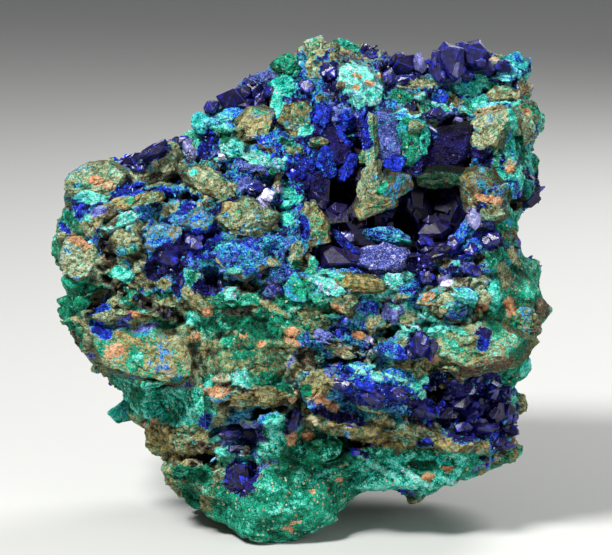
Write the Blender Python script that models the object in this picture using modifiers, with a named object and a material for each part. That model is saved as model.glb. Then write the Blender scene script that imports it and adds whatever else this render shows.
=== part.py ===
"""An azurite specimen: a rugged gossan rock with malachite, a crystal-lined hollow and azurite crystals.

Metres, +Z up. The origin is on the flat base, under the middle of the rock. +X runs along the rock's
width and -Y is its display face.

The rock is laid out in millimetres on a plane through the origin that leans back by FACE_TILT: x runs
to the right, h climbs the leaning plane from the toe of the foot, and d runs square into the rock.
leaning() carries such a place into the part's frame, and face_spot() carries (x, h) onto the front.
"""

import math

import bmesh
import bpy
from mathutils import Euler, Matrix, Vector, noise
from mathutils.bvhtree import BVHTree

MM = 0.001
FACE_TILT = math.radians(10)
TOE_DROP = 2.4  # mm from the origin down the leaning plane to the toe of the foot
CORE_HEIGHT = 44.0  # h of the point that the outline is measured round
REAR_DEPTH = 29.0  # mm from the leaning plane to the back
BLOCKINESS = 3.2  # superellipse exponent of the section from front to back
LUMP_ROOM = 0.5  # mm by which the bare rock stays inside the outline, for the lumps set on it
GAP = 0.35  # mm between the rock and the crystals seated in it
ROCK_VOXEL = 0.9
ROCK_TRIANGLES = 4300
HOLLOW_TRIANGLES = 260

# How far the front stands before the leaning plane: h and depth in mm.
FRONT_PROFILE = [(-2, 15), (10, 17), (22, 20), (32, 24), (47, 26), (58, 25), (68, 21), (78, 17), (90, 13)]

# The outline of the rock in face millimetres, anticlockwise from the toe.
OUTLINE = [
    (-4, 0), (1, 0), (5, 1.5), (8, 4.5), (10, 8.4), (15, 9), (24, 9), (30, 10.6), (34, 12), (38.3, 14.6),
    (39.8, 19), (37.8, 23), (38.6, 28), (41.8, 34), (44.5, 39.5), (44.2, 43), (40.6, 48.5), (39.4, 53),
    (40, 58), (41.8, 63), (42.4, 70), (42.6, 75), (42.2, 80), (41, 87), (36, 87), (32, 86.5), (24, 86),
    (17, 86), (13, 87.8), (8, 89), (3, 89.3), (-2, 87.2), (-5, 85), (-9, 80), (-15, 76.4), (-19, 71.8),
    (-25, 68.6), (-32, 66.8), (-37, 65), (-41.4, 62), (-44, 57.6), (-44.5, 52.4), (-42.2, 48.6),
    (-41.6, 44), (-42.6, 38), (-41.4, 34), (-36, 32), (-33, 26.5), (-29.5, 21.5), (-26.6, 17),
    (-24.3, 12.5), (-20.6, 9), (-19, 4), (-14, 3.8), (-9, 1.6),
]

# Lumps and ledges of the face: x, h, half width, half height, how far proud, turn in degrees.
FACE_LUMPS = [
    (-36.0, 62.5, 6.2, 5.2, 2.6, 10), (-25.5, 66.0, 5.4, 3.6, 3.0, 18), (-17.5, 63.3, 4.6, 3.0, 2.8, -25),
    (-13.0, 61.2, 3.6, 2.0, 1.8, 10), (-9.5, 57.3, 5.6, 3.2, 3.0, -12), (-17.6, 56.6, 2.9, 2.4, 3.2, 0),
    (-28.5, 58.8, 7.0, 1.7, 2.6, 18), (-27.5, 53.4, 5.8, 3.2, 3.8, 12), (-38.8, 50.0, 4.2, 5.4, 2.6, 12),
    (-31.0, 40.4, 10.0, 1.7, 3.2, 5), (-22.5, 46.3, 3.6, 1.6, 2.2, -8), (-26.0, 33.5, 11.0, 5.2, 2.8, 0),
    (-11.5, 30.5, 7.5, 5.2, 4.2, -28), (-14.0, 27.8, 2.8, 1.9, 5.6, 5), (-4.5, 27.6, 6.2, 2.6, 4.6, 16),
    (-1.6, 75.6, 3.0, 3.3, 3.4, 20), (-8.5, 73.2, 4.2, 3.2, 2.6, 20), (-13.0, 71.6, 4.6, 2.6, 2.0, -10),
    (9.6, 81.0, 4.8, 4.3, 3.4, 0), (-2.6, 84.8, 2.6, 2.4, 2.4, 0), (2.5, 85.5, 3.6, 3.2, 1.4, 0),
    (31.5, 72.6, 5.6, 3.0, 3.2, 18), (33.0, 60.2, 5.2, 4.6, 3.6, 0), (36.8, 67.0, 2.6, 4.0, 2.4, 10),
    (3.2, 54.3, 2.8, 4.0, 3.0, 20), (-10.0, 50.8, 7.2, 3.0, 3.6, -6), (-3.0, 49.5, 3.4, 3.4, 2.4, 0),
    (12.0, 45.6, 10.0, 2.0, 3.8, -4), (5.0, 43.2, 5.2, 2.6, 3.0, 10), (26.0, 43.4, 7.0, 2.3, 3.2, 6),
    (30.5, 35.6, 9.5, 5.6, 3.6, -4), (40.0, 41.5, 4.6, 6.2, 1.6, 0), (15.5, 34.8, 3.8, 2.6, 3.2, 0),
    (13.0, 27.6, 12.5, 3.2, 5.4, -16), (3.0, 28.2, 5.0, 3.8, 4.6, 0), (10.0, 21.6, 12.0, 1.8, 5.0, -7),
    (25.5, 19.0, 6.4, 2.2, 4.2, 4), (-4.0, 7.0, 12.0, 7.6, 4.6, 0), (-20.5, 18.5, 6.4, 4.0, 1.8, -15),
    (22.0, 12.5, 13.0, 4.0, 2.8, 8), (-20.8, 12.6, 4.2, 2.6, 1.8, 0), (-4.6, 19.4, 2.2, 4.6, 3.4, -30),
    (22.0, 78.6, 14.0, 2.2, 3.2, -3), (38.0, 78.5, 4.0, 3.6, 1.6, 0), (5.0, 35.8, 7.6, 2.0, 2.6, -10),
    (-12.0, 42.5, 6.8, 2.2, 2.4, -12), (22.5, 54.0, 5.0, 1.6, 1.2, 10), (-18.4, 45.0, 2.6, 5.4, 2.4, 32),
]

# Small blocks strewn over the front: how many, and their least and greatest half widths.
SMALL_LUMPS, SMALL_LEAST, SMALL_MOST = 90, 1.6, 3.8
SMALL_LUMP_SEED = 7

# Lumps all round the rest of the rock: how many, and their least and greatest half widths.
ROUND_LUMPS, ROUND_LEAST, ROUND_MOST = 74, 4.5, 10.5
ROUND_SEED = 11

# Feet under the rock, behind the toe: x, y, z, half width, half depth, half height.
FEET = [(-3.0, 13.0, 9.0, 13.5, 14.0, 11.5), (-18.4, 9.0, 7.5, 4.2, 6.5, 8.0), (-4.0, -8.0, 9.0, 10.5, 10.0, 11.0)]

# Slots, undercuts and cracks: x, h, half width, half height, depth, turn in degrees.
SLOTS = [
    (-6.0, 64.2, 3.6, 1.7, 4.5, -6), (-14.6, 67.4, 3.4, 1.4, 4.0, -12), (-23.6, 60.9, 1.9, 1.4, 3.5, 10),
    (-19.4, 60.9, 2.0, 1.3, 3.5, -25), (-33.6, 52.0, 2.2, 1.4, 4.5, -30), (-27.5, 49.6, 4.4, 1.0, 4.0, 10),
    (-26.0, 42.4, 6.4, 1.5, 5.5, -2), (-36.0, 43.2, 5.0, 1.5, 4.5, 22), (-13.0, 46.6, 6.4, 1.5, 4.5, -8),
    (8.0, 31.9, 9.0, 0.9, 4.5, 0), (14.0, 36.9, 5.6, 1.0, 4.0, 8), (23.6, 27.0, 3.4, 2.0, 5.5, -35),
    (4.4, 16.6, 6.4, 2.6, 7.5, 10), (-7.2, 23.6, 3.0, 1.2, 5.0, 28), (-9.8, 16.6, 2.6, 1.2, 4.5, 35),
    (-26.0, 28.8, 5.4, 0.9, 3.5, 8), (-25.0, 24.3, 6.4, 4.0, 2.8, -6), (26.5, 31.4, 7.0, 1.2, 4.0, -4),
    (26.2, 74.1, 3.6, 1.8, 5.5, 10), (37.8, 60.2, 2.3, 2.1, 4.0, 0), (-16.6, 14.6, 3.2, 1.1, 4.0, -20),
    (-12.5, 19.2, 5.0, 1.9, 3.0, 8), (5.4, 40.0, 7.0, 0.9, 3.2, 4),
]

# The lobes of the crystal-lined hollow: x, h, half width, half height, depth, turn in degrees.
HOLLOW_LOBES = [
    (6.4, 62.6, 5.6, 7.8, 16.0, -18), (8.6, 68.0, 3.8, 3.6, 9.0, 0), (22.6, 58.0, 8.4, 7.4, 19.0, 12),
    (25.2, 67.0, 4.6, 5.0, 8.5, 0), (10.6, 51.2, 9.6, 3.4, 9.0, -5), (13.5, 56.0, 7.0, 3.6, 15.0, -10),
]
CRUST_WALL = 1.1  # mm of azurite on the hollow's wall
CRUST_INSET = 1.6  # mm from the bare rock's face back to the crust's rim
CRUST_GAP = 1.0  # mm between that azurite and the rock
CRUST_CRYSTALS, CRUST_SEED = 13, 6
# Broad crystals on the hollow's floor: x, h, mm inside the face, width, height, thickness, turn.
FLOOR_CRYSTALS = [(7.6, 50.0, 1.5, 11.0, 5.4, 5.0, -8), (14.8, 50.4, 2.2, 9.6, 5.6, 6.0, 10)]

# Crystal groups on the face: name, x, h, root half width, half height, number of crystals, least and
# greatest length, how far their directions fan out in degrees, turn of the root, seed.
FACE_GROUPS = [
    ("azurite_lower_right", 31.8, 23.4, 5.6, 5.8, 10, 5.0, 8.0, 38, 0, 3),
    ("azurite_on_foot", -10.0, 12.2, 2.6, 2.8, 7, 3.8, 4.8, 70, 0, 8),
    ("azurite_slab", 15.0, 70.2, 1.9, 4.6, 4, 3.6, 5.0, 24, 8, 14),
    ("azurite_right_edge", 39.6, 63.6, 1.5, 3.2, 3, 3.4, 4.2, 24, 0, 41),
]

# Crystal groups on the upper rim: name, x, y, root half width, half depth, number of crystals, least
# and greatest length, fan in degrees, seed.
RIM_GROUPS = [
    ("azurite_top_rim", 30.4, 1.0, 5.8, 3.4, 11, 9.0, 10.8, 24, 61),
    ("azurite_top_notch", 17.2, 2.0, 2.2, 2.2, 4, 5.6, 6.8, 24, 72),
    ("azurite_shoulder", -11.0, 1.0, 4.0, 3.0, 6, 6.0, 7.8, 28, 95),
    ("azurite_left_ridge", -26.0, 1.0, 5.4, 2.0, 6, 3.8, 5.2, 34, 104),
]

ROOT_SINK = 0.8  # mm of a group's root below the rock's surface

# Small crystals grown straight from the rock: x, h, length, how many.
SMALL_CRYSTALS = [(20.8, 35.6, 3.6, 3), (-11.6, 19.6, 2.8, 2), (-1.2, 22.0, 2.8, 2), (-5.6, 60.8, 3.6, 2)]


def clear_scene():
    for obj in list(bpy.data.objects):
        bpy.data.objects.remove(obj, do_unlink=True)


def new_collection(name):
    made = bpy.data.collections.new(name)
    bpy.context.scene.collection.children.link(made)
    return made


def new_material(name, colour, roughness):
    material = bpy.data.materials.new(name)
    material.use_nodes = True
    shader = material.node_tree.nodes["Principled BSDF"]
    shader.inputs["Base Color"].default_value = (*colour, 1.0)
    shader.inputs["Roughness"].default_value = roughness
    shader.inputs["Metallic"].default_value = 0.0
    return material


def new_object(name, bm, collection, material=None):
    """An object that holds bm, in metres; bm itself is in millimetres and is freed."""
    bmesh.ops.scale(bm, vec=(MM, MM, MM), verts=bm.verts)
    mesh = bpy.data.meshes.new(name)
    bm.to_mesh(mesh)
    bm.free()
    if material:
        mesh.materials.append(material)
    obj = bpy.data.objects.new(name, mesh)
    collection.objects.link(obj)
    return obj


def as_bmesh(obj):
    """The object's mesh in millimetres."""
    bm = bmesh.new()
    bm.from_mesh(obj.data)
    bmesh.ops.scale(bm, vec=(1 / MM, 1 / MM, 1 / MM), verts=bm.verts)
    return bm


def as_helper(obj):
    obj.hide_render = True
    obj.display_type = "WIRE"
    return obj


def add_modifier(obj, kind, **settings):
    modifier = obj.modifiers.new(kind.title(), kind)
    for key, value in settings.items():
        setattr(modifier, key, value)
    return modifier


def apply_modifiers(obj):
    """Replaces the object's mesh with its evaluated one."""
    bpy.context.view_layer.update()
    graph = bpy.context.evaluated_depsgraph_get()
    mesh = bpy.data.meshes.new_from_object(obj.evaluated_get(graph))
    obj.modifiers.clear()
    obj.data = mesh


def carve(obj, cutter):
    add_modifier(obj, "BOOLEAN", operation="DIFFERENCE", object=cutter)
    apply_modifiers(obj)


def keep_within(obj, limit):
    add_modifier(obj, "BOOLEAN", operation="INTERSECT", object=limit)
    apply_modifiers(obj)


def remesh(obj, voxel):
    add_modifier(obj, "REMESH", mode="VOXEL", voxel_size=voxel * MM)
    apply_modifiers(obj)


def decimate(obj, triangles):
    count = sum(len(face.vertices) - 2 for face in obj.data.polygons)
    add_modifier(obj, "DECIMATE", ratio=triangles / count)
    apply_modifiers(obj)


def keep_main_shell(obj):
    """Drops the crumbs and the closed pockets that cutting and joining leave, keeping the outer shell."""
    bm = bmesh.new()
    bm.from_mesh(obj.data)
    left = set(bm.verts)
    shells = []
    while left:
        start = left.pop()
        shell, edge = {start}, [start]
        while edge:
            vert = edge.pop()
            for link in vert.link_edges:
                near = link.other_vert(vert)
                if near in left:
                    left.remove(near)
                    shell.add(near)
                    edge.append(near)
        shells.append(shell)
    shells.sort(key=len)
    drop = [vert for shell in shells[:-1] for vert in shell]
    bmesh.ops.delete(bm, geom=drop, context="VERTS")
    bm.to_mesh(obj.data)
    bm.free()


# ---- the bare rock and places on it -------------------------------------------------------------


def leaning(x, h, d):
    """A place on or behind the leaning plane, in the part's frame; both in mm."""
    up = h - TOE_DROP
    along_y = up * math.sin(FACE_TILT) + d * math.cos(FACE_TILT)
    return Vector((x, along_y, up * math.cos(FACE_TILT) - d * math.sin(FACE_TILT)))


def interpolated(table, x):
    for (x0, y0), (x1, y1) in zip(table, table[1:]):
        if x <= x1:
            return y0 + (y1 - y0) * max(0.0, (x - x0) / (x1 - x0))
    return table[-1][1]


def outline_table():
    """Angles round the core in radians, and the outline's distance from the core there in mm."""
    table = []
    for x, h in OUTLINE:
        table.append((math.atan2(h - CORE_HEIGHT, x), math.hypot(x, h - CORE_HEIGHT) - LUMP_ROOM))
    table.sort()
    (first, r_first), (last, r_last) = table[0], table[-1]
    return [(last - math.tau, r_last), *table, (first + math.tau, r_first)]


def bare_rock(detail):
    """A ball swollen to the outline in front view and to a blocky section from front to back."""
    table = outline_table()
    bm = bmesh.new()
    bmesh.ops.create_icosphere(bm, subdivisions=detail, radius=1.0)
    for vert in bm.verts:
        direction = vert.co.normalized()
        flat = math.hypot(direction.x, direction.z)
        swell = (flat**BLOCKINESS + abs(direction.y) ** BLOCKINESS) ** (-1 / BLOCKINESS)
        angle = math.atan2(direction.z, direction.x)
        reach = flat * swell * interpolated(table, angle)
        h = CORE_HEIGHT + reach * math.sin(angle)
        depth = interpolated(FRONT_PROFILE, h) if direction.y < 0 else REAR_DEPTH
        vert.co = leaning(reach * math.cos(angle), h, direction.y * swell * depth)
    return bm


class Ground:
    """A surface that lumps, slots and crystals are set on. Its places are in mm."""

    def __init__(self, bm):
        self.tree = BVHTree.FromBMesh(bm)

    def face_spot(self, x, h):
        """The point of the front at (x, h) on the leaning plane, and the surface's direction there."""
        start = leaning(x, h, -200.0)
        point, normal, _, _ = self.tree.ray_cast(start, leaning(x, h, 0.0) - start)
        if point is None:  # just outside the outline
            point, normal, _, _ = self.tree.find_nearest(leaning(x, h, 0.0))
        return point, normal

    def top_spot(self, x, y):
        point, normal, _, _ = self.tree.ray_cast(Vector((x, y, 200.0)), Vector((0.0, 0.0, -1.0)))
        return point, normal

    def round_spot(self, direction):
        centre = leaning(0.0, CORE_HEIGHT, 0.0)
        point, normal, _, _ = self.tree.ray_cast(centre + direction * 200.0, -direction)
        return point, normal


def standing_frame(point, outward, turn):
    """A matrix at point whose Z is outward and whose X is level, then turned about Z."""
    z = outward.normalized()
    x = Vector((0.0, 0.0, 1.0)).cross(z)
    x = x.normalized() if x.length > 0.05 else Vector((1.0, 0.0, 0.0))
    y = z.cross(x)
    turned = Matrix((x, y, z)).transposed() @ Euler((0.0, 0.0, math.radians(turn))).to_matrix()
    return Matrix.Translation(point) @ turned.to_4x4()


def add_boulder(bm, frame, half_sizes, seed):
    """A lump with broken flat sides, added to bm: an ellipsoid that random planes have cut."""
    noise.seed_set(seed + 1)
    planes = [(noise.random_unit_vector(), 0.68 + 0.24 * noise.random()) for _ in range(13)]
    made = bmesh.ops.create_icosphere(bm, subdivisions=4, radius=1.0)["verts"]
    for vert in made:
        towards = vert.co.normalized()
        reach = 1.0
        for normal, distance in planes:
            facing = towards.dot(normal)
            if facing > 0.1:
                reach = min(reach, distance / facing)
        vert.co = Vector((towards[i] * reach * half_sizes[i] for i in range(3)))
    bmesh.ops.transform(bm, matrix=frame, verts=made)


def add_ball(bm, frame, half_sizes, detail, rough, seed):
    """A pitted ellipsoid in the frame given, added to bm."""
    made = bmesh.ops.create_icosphere(bm, subdivisions=detail, radius=1.0)["verts"]
    shift = Vector((seed * 3.1, seed * 1.7, seed * 2.3))
    for vert in made:
        swell = 1.0 + rough * noise.noise(vert.co * 1.9 + shift)
        vert.co = Vector((vert.co[i] * swell * half_sizes[i] for i in range(3)))
    bmesh.ops.transform(bm, matrix=frame, verts=made)
    return made


# ---- lumps, slots and the hollow ----------------------------------------------------------------


def outward_of(normal):
    """Mostly square to the leaning face, and a little along the surface's own direction."""
    face = Vector((0.0, -math.cos(FACE_TILT), math.sin(FACE_TILT)))
    return (face * 1.2 + normal).normalized()


def add_face_lumps(bm, ground):
    for seed, (x, h, half_width, half_height, proud, turn) in enumerate(FACE_LUMPS):
        point, normal = ground.face_spot(x, h)
        outward = outward_of(normal)
        thick = 1.5 * proud + 0.6 * min(half_width, half_height)
        frame = standing_frame(point - outward * (thick - 1.5 * proud), outward, turn)
        add_boulder(bm, frame, (1.1 * half_width, 1.12 * half_height, thick), seed)


def add_small_lumps(bm, ground):
    """Small blocks strewn over the front."""
    noise.seed_set(SMALL_LUMP_SEED)
    places = []
    for _ in range(SMALL_LUMPS):
        x, h = 84 * noise.random() - 42, 84 * noise.random() + 2
        wide = SMALL_LEAST + (SMALL_MOST - SMALL_LEAST) * noise.random()
        high = wide * (0.5 + 0.4 * noise.random())
        places.append((x, h, wide, high, 0.7 + 1.3 * noise.random(), 60 * noise.random() - 30))
    for seed, (x, h, wide, high, proud, turn) in enumerate(places):
        point, normal = ground.face_spot(x, h)
        frame = standing_frame(point - outward_of(normal) * (high - proud), outward_of(normal), turn)
        add_boulder(bm, frame, (wide, high, high), 400 + seed)


def add_round_lumps(bm, ground):
    """Lumps on the sides, top and back, spaced by the golden angle, with the front left out."""
    golden = math.pi * (3 - math.sqrt(5))
    noise.seed_set(ROUND_SEED)
    sizes = []
    for i in range(ROUND_LUMPS):
        level = 1 - 2 * (i + 0.5) / ROUND_LUMPS
        ring = math.sqrt(1 - level * level)
        direction = Vector((ring * math.cos(golden * i), ring * math.sin(golden * i), level))
        if direction.y < -0.42 or direction.z < -0.86:
            continue
        point, normal = ground.round_spot(direction)
        share = noise.random()
        wide = ROUND_LEAST + (ROUND_MOST - ROUND_LEAST) * share
        high = wide * (0.45 + 0.4 * noise.random())
        proud = 1.2 + 2.0 * noise.random()
        frame = standing_frame(point - normal * (high * 0.7 - proud), normal, 40 * (share - 0.5))
        sizes.append((frame, (wide, high, high * 0.7)))
    for seed, (frame, half_sizes) in enumerate(sizes):
        add_boulder(bm, frame, half_sizes, 100 + seed)


def add_feet(bm):
    for seed, (x, y, z, half_width, half_depth, half_height) in enumerate(FEET):
        frame = Matrix.Translation((x, y, z))
        add_boulder(bm, frame, (half_width, half_depth, half_height), 200 + seed)


def add_hollows(bm, ground, hollows, detail, rough, reach_out, shrink=0.0):
    """Ellipsoids that open at the face: each is centred reach_out of its depth inside the surface."""
    for seed, (x, h, half_width, half_height, depth, turn) in enumerate(hollows):
        point, normal = ground.face_spot(x, h)
        outward = outward_of(normal)
        frame = standing_frame(point - outward * depth * reach_out, outward, turn)
        sizes = [half_width - shrink, half_height - shrink, depth * (1 - reach_out) * 1.35 - shrink]
        add_ball(bm, frame, sizes, detail, rough, 300 + seed)


def hollow_shape(name, ground, helpers, shrink):
    """The lobes of the crystal-lined hollow, merged into one closed shape."""
    bm = bmesh.new()
    add_hollows(bm, ground, HOLLOW_LOBES, 3, 0.22, 0.28, shrink)
    shape = as_helper(new_object(name, bm, helpers))
    remesh(shape, 0.8)
    decimate(shape, HOLLOW_TRIANGLES)
    return shape


# ---- crystals -----------------------------------------------------------------------------------


def cut_away(bm, point, normal):
    """Cuts bm with a plane, drops what lies beyond it, and closes the flat face."""
    geometry = list(bm.verts) + list(bm.edges) + list(bm.faces)
    bmesh.ops.bisect_plane(bm, geom=geometry, plane_co=point, plane_no=normal, clear_outer=True)
    open_edges = [edge for edge in bm.edges if edge.is_boundary]
    if open_edges:
        bmesh.ops.holes_fill(bm, edges=open_edges)


def crystal(frame, length, width, thick, lean, grow=0.0):
    """A stubby six-sided azurite prism with a roofed end, its root at the frame's origin."""
    bm = bmesh.new()
    bmesh.ops.create_cone(bm, cap_ends=True, segments=6, radius1=0.5, radius2=0.46, depth=1.0)
    for side in (1, -1):
        cut_away(bm, Vector((0.0, 0.0, 0.42 + side * lean)), Vector((side * 0.52, 0.1, 0.84)).normalized())
    cut_away(bm, Vector((0.0, -0.2, 0.34)), Vector((-0.15, -0.8, 0.58)).normalized())
    sizes = Vector((width + 2 * grow, thick + 2 * grow, length + 2 * grow))
    bmesh.ops.scale(bm, vec=sizes, verts=bm.verts)
    bmesh.ops.translate(bm, vec=(0.0, 0.0, length * 0.30), verts=bm.verts)
    bmesh.ops.transform(bm, matrix=frame, verts=bm.verts)
    bmesh.ops.recalc_face_normals(bm, faces=bm.faces)
    return bm


def unite(whole, other):
    """Joins the other object to this one, and removes it."""
    add_modifier(whole, "BOOLEAN", operation="UNION", object=other)
    apply_modifiers(whole)
    bpy.data.objects.remove(other, do_unlink=True)


def join(whole, bm, helpers):
    unite(whole, new_object("joined", bm, helpers))


def fanned(frame, reach_x, reach_y, fan, place):
    """A frame at a place in the root ellipse, leaning outward from its middle by up to fan degrees."""
    around, share, twist = place
    away = math.sqrt(share)
    spot = Vector((math.cos(around) * away * reach_x, math.sin(around) * away * reach_y, 0.0))
    lean = math.radians(fan) * away
    tilt = Euler((-math.sin(around) * lean, math.cos(around) * lean, twist)).to_matrix().to_4x4()
    return frame @ Matrix.Translation(spot) @ tilt


def crystal_group(name, frame, reach_x, reach_y, count, lengths, fan, seed, grow, collection, material=None):
    """A root mass with crystals fanning out of it. The same seed gives the same group at any grow."""
    noise.seed_set(seed)
    root = bmesh.new()
    deep = 0.32 * lengths[1]
    half_sizes = (reach_x + 0.9 + grow, reach_y + 0.9 + grow, deep + grow)
    add_ball(root, frame, half_sizes, 1, 0.0, seed)
    shapes = [root]
    for i in range(count):
        place = (2.4 * i + 0.8 * noise.random(), (i + 0.5) / count, 0.9 * noise.random())
        length = lengths[0] + (lengths[1] - lengths[0]) * noise.random()
        width = length * (0.66 + 0.3 * noise.random())
        thick = width * (0.55 + 0.25 * noise.random())
        lean = 0.12 * (noise.random() - 0.5)
        shapes.append(crystal(fanned(frame, reach_x, reach_y, fan, place), length, width, thick, lean, grow))
    group = new_object(name, shapes[0], collection, material)
    for shape in shapes[1:]:
        join(group, shape, collection)
    keep_main_shell(group)
    return group


def group_frames(bare, rough):
    """Each group's name, frame and sizes: it stands on the rough rock and points as the bare one does."""
    for name, x, h, reach_x, reach_y, count, least, most, fan, turn, seed in FACE_GROUPS:
        outward = outward_of(bare.face_spot(x, h)[1])
        point = rough.face_spot(x, h)[0] - outward * ROOT_SINK
        yield name, standing_frame(point, outward, turn), reach_x, reach_y, count, (least, most), fan, seed
    for name, x, y, reach_x, reach_y, count, least, most, fan, seed in RIM_GROUPS:
        outward = (bare.top_spot(x, y)[1] + Vector((0.0, 0.0, 1.5))).normalized()
        point = rough.top_spot(x, y)[0] - outward * ROOT_SINK
        yield name, standing_frame(point, outward, 0), reach_x, reach_y, count, (least, most), fan, seed


def add_small_crystals(rock, bare, rough, helpers):
    """Small crystals grown from the rock itself."""
    for seed, (x, h, length, count) in enumerate(SMALL_CRYSTALS):
        noise.seed_set(seed + 1)
        for _ in range(count):
            spot = (x + 3 * noise.random() - 1.5, h + 3 * noise.random() - 1.5)
            outward = (outward_of(bare.face_spot(*spot)[1]) + 0.5 * noise.random_unit_vector()).normalized()
            frame = standing_frame(rough.face_spot(*spot)[0], outward, 90 * noise.random())
            join(rock, crystal(frame, length, 0.8 * length, 0.55 * length, 0.0), helpers)


def wall_spots(ground, inner, count):
    """Places spread over the inner hollow's wall, each with the way into the hollow."""
    tree = BVHTree.FromObject(inner, bpy.context.evaluated_depsgraph_get())
    golden = math.pi * (3 - math.sqrt(5))
    for i in range(count):
        x, h, half_width, half_height, depth, _ = HOLLOW_LOBES[i % len(HOLLOW_LOBES)]
        point, normal = ground.face_spot(x, h)
        outward = outward_of(normal)
        level = -1.0 + 1.3 * (i + 0.5) / count
        ring = math.sqrt(1 - level * level)
        aim = Vector((ring * math.cos(golden * i), ring * math.sin(golden * i), level))
        aim = standing_frame(point, outward, 0).to_3x3() @ aim
        start = (point - outward * depth * 0.28) * MM
        hit, normal, _, _ = tree.ray_cast(start, aim)
        if hit is not None:
            yield hit / MM, -normal


def build_crust(ground, parts, helpers, material):
    """The azurite that lines the hollow: a thin wall, its crystals, and nothing past the rim."""
    inner = hollow_shape("hollow_inside", ground, helpers, CRUST_GAP + CRUST_WALL)
    noise.seed_set(CRUST_SEED)
    crystals = []
    for spot, inward in wall_spots(ground, inner, CRUST_CRYSTALS):
        length = 3.2 + 2.2 * noise.random()
        width = length * (0.7 + 0.3 * noise.random())
        frame = standing_frame(spot, inward, 360 * noise.random())
        crystals.append(crystal(frame, length, width, width * 0.6, 0.1 * (noise.random() - 0.5)))
    for x, h, inside, width, height, thick, turn in FLOOR_CRYSTALS:
        point, normal = ground.face_spot(x, h)
        outward = outward_of(normal)
        frame = standing_frame(point - outward * inside, outward, turn)
        crystals.append(crystal(frame @ Matrix.Translation((0, 0, -thick * 0.7)), thick, width, height, 0.0))

    crust = hollow_shape("vug_crust", ground, helpers, CRUST_GAP)
    rim = bare_rock(4)
    rim.normal_update()
    for vert in rim.verts:
        vert.co -= vert.normal * CRUST_INSET
    keep_within(crust, as_helper(new_object("rim", rim, helpers)))
    carve(crust, inner)
    cluster = new_object("cluster", crystals[0], helpers)
    for bm in crystals[1:]:
        join(cluster, bm, helpers)
    keep_within(cluster, hollow_shape("crystal_limit", ground, helpers, CRUST_GAP + 0.35 * CRUST_WALL))
    unite(crust, cluster)
    helpers.objects.unlink(crust)
    parts.objects.link(crust)
    crust.hide_render = False
    crust.display_type = "TEXTURED"
    keep_main_shell(crust)
    crust.data.materials.clear()
    crust.data.materials.append(material)


# ---- the pieces ---------------------------------------------------------------------------------


def weather(rock):
    """Moves the surface in and out: level strata, crevices between blocks, and a rough grain."""
    bm = bmesh.new()
    bm.from_mesh(rock.data)
    bm.normal_update()
    moves = []
    for vert in bm.verts:
        spot = vert.co / MM
        strata = noise.noise(Vector((spot.x * 0.05, spot.y * 0.05, spot.z * 0.36 + spot.x * 0.03)))
        near, far = noise.voronoi(spot * 0.125 + Vector((3.0, 1.0, 2.0)))[0][:2]
        crevice = max(0.0, 1.0 - (far - near) / 0.16)
        grain = noise.fractal(spot * 0.2, 0.9, 2.1, 3)
        moves.append(vert.normal * (1.5 * strata - 1.5 * crevice + 0.75 * grain - 0.1) * MM)
    for vert, move in zip(bm.verts, moves):
        vert.co += move
    bm.to_mesh(rock.data)
    bm.free()


def build_rock(ground, bare, parts, helpers, material):
    """The rock: the bare form with lumps and feet merged on, weathered, slotted and cut flat below."""
    add_face_lumps(bare, ground)
    add_small_lumps(bare, ground)
    add_round_lumps(bare, ground)
    add_feet(bare)
    rock = new_object("rock", bare, parts, material)
    remesh(rock, ROCK_VOXEL)
    weather(rock)
    remesh(rock, ROCK_VOXEL)

    slots = bmesh.new()
    add_hollows(slots, ground, SLOTS, 2, 0.3, 0.1)
    cutter = as_helper(new_object("slots", slots, helpers))
    remesh(cutter, 0.5)
    carve(rock, cutter)
    remesh(rock, 0.85 * ROCK_VOXEL)
    decimate(rock, ROCK_TRIANGLES)

    floor = bmesh.new()
    bmesh.ops.create_cube(floor, size=200.0)
    bmesh.ops.translate(floor, vec=(0.0, 0.0, -100.0), verts=floor.verts)
    carve(rock, as_helper(new_object("below_base", floor, helpers)))
    return rock


def main():
    clear_scene()
    parts = new_collection("azurite_specimen")
    helpers = new_collection("cutters")
    rock_material = new_material("gossan_and_malachite", (0.20, 0.24, 0.14), 0.85)
    azurite = new_material("azurite", (0.02, 0.02, 0.30), 0.25)

    bare = bare_rock(6)
    ground = Ground(bare)
    rock = build_rock(ground, bare, parts, helpers, rock_material)
    hollow = hollow_shape("hollow", ground, helpers, 0.0)
    carve(rock, hollow)
    build_crust(ground, parts, helpers, azurite)

    rough = Ground(as_bmesh(rock))
    for name, frame, *sizes in group_frames(ground, rough):
        seat = crystal_group(name + "_seat", frame, *sizes, GAP, helpers)
        carve(rock, as_helper(seat))
        crystal_group(name, frame, *sizes, 0.0, parts, azurite)
    add_small_crystals(rock, ground, rough, helpers)
    keep_main_shell(rock)


main()
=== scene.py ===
import math
from functools import partial

import bmesh
import bpy
import numpy as np
from mathutils import Matrix, Vector
from mathutils.bvhtree import BVHTree


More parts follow.
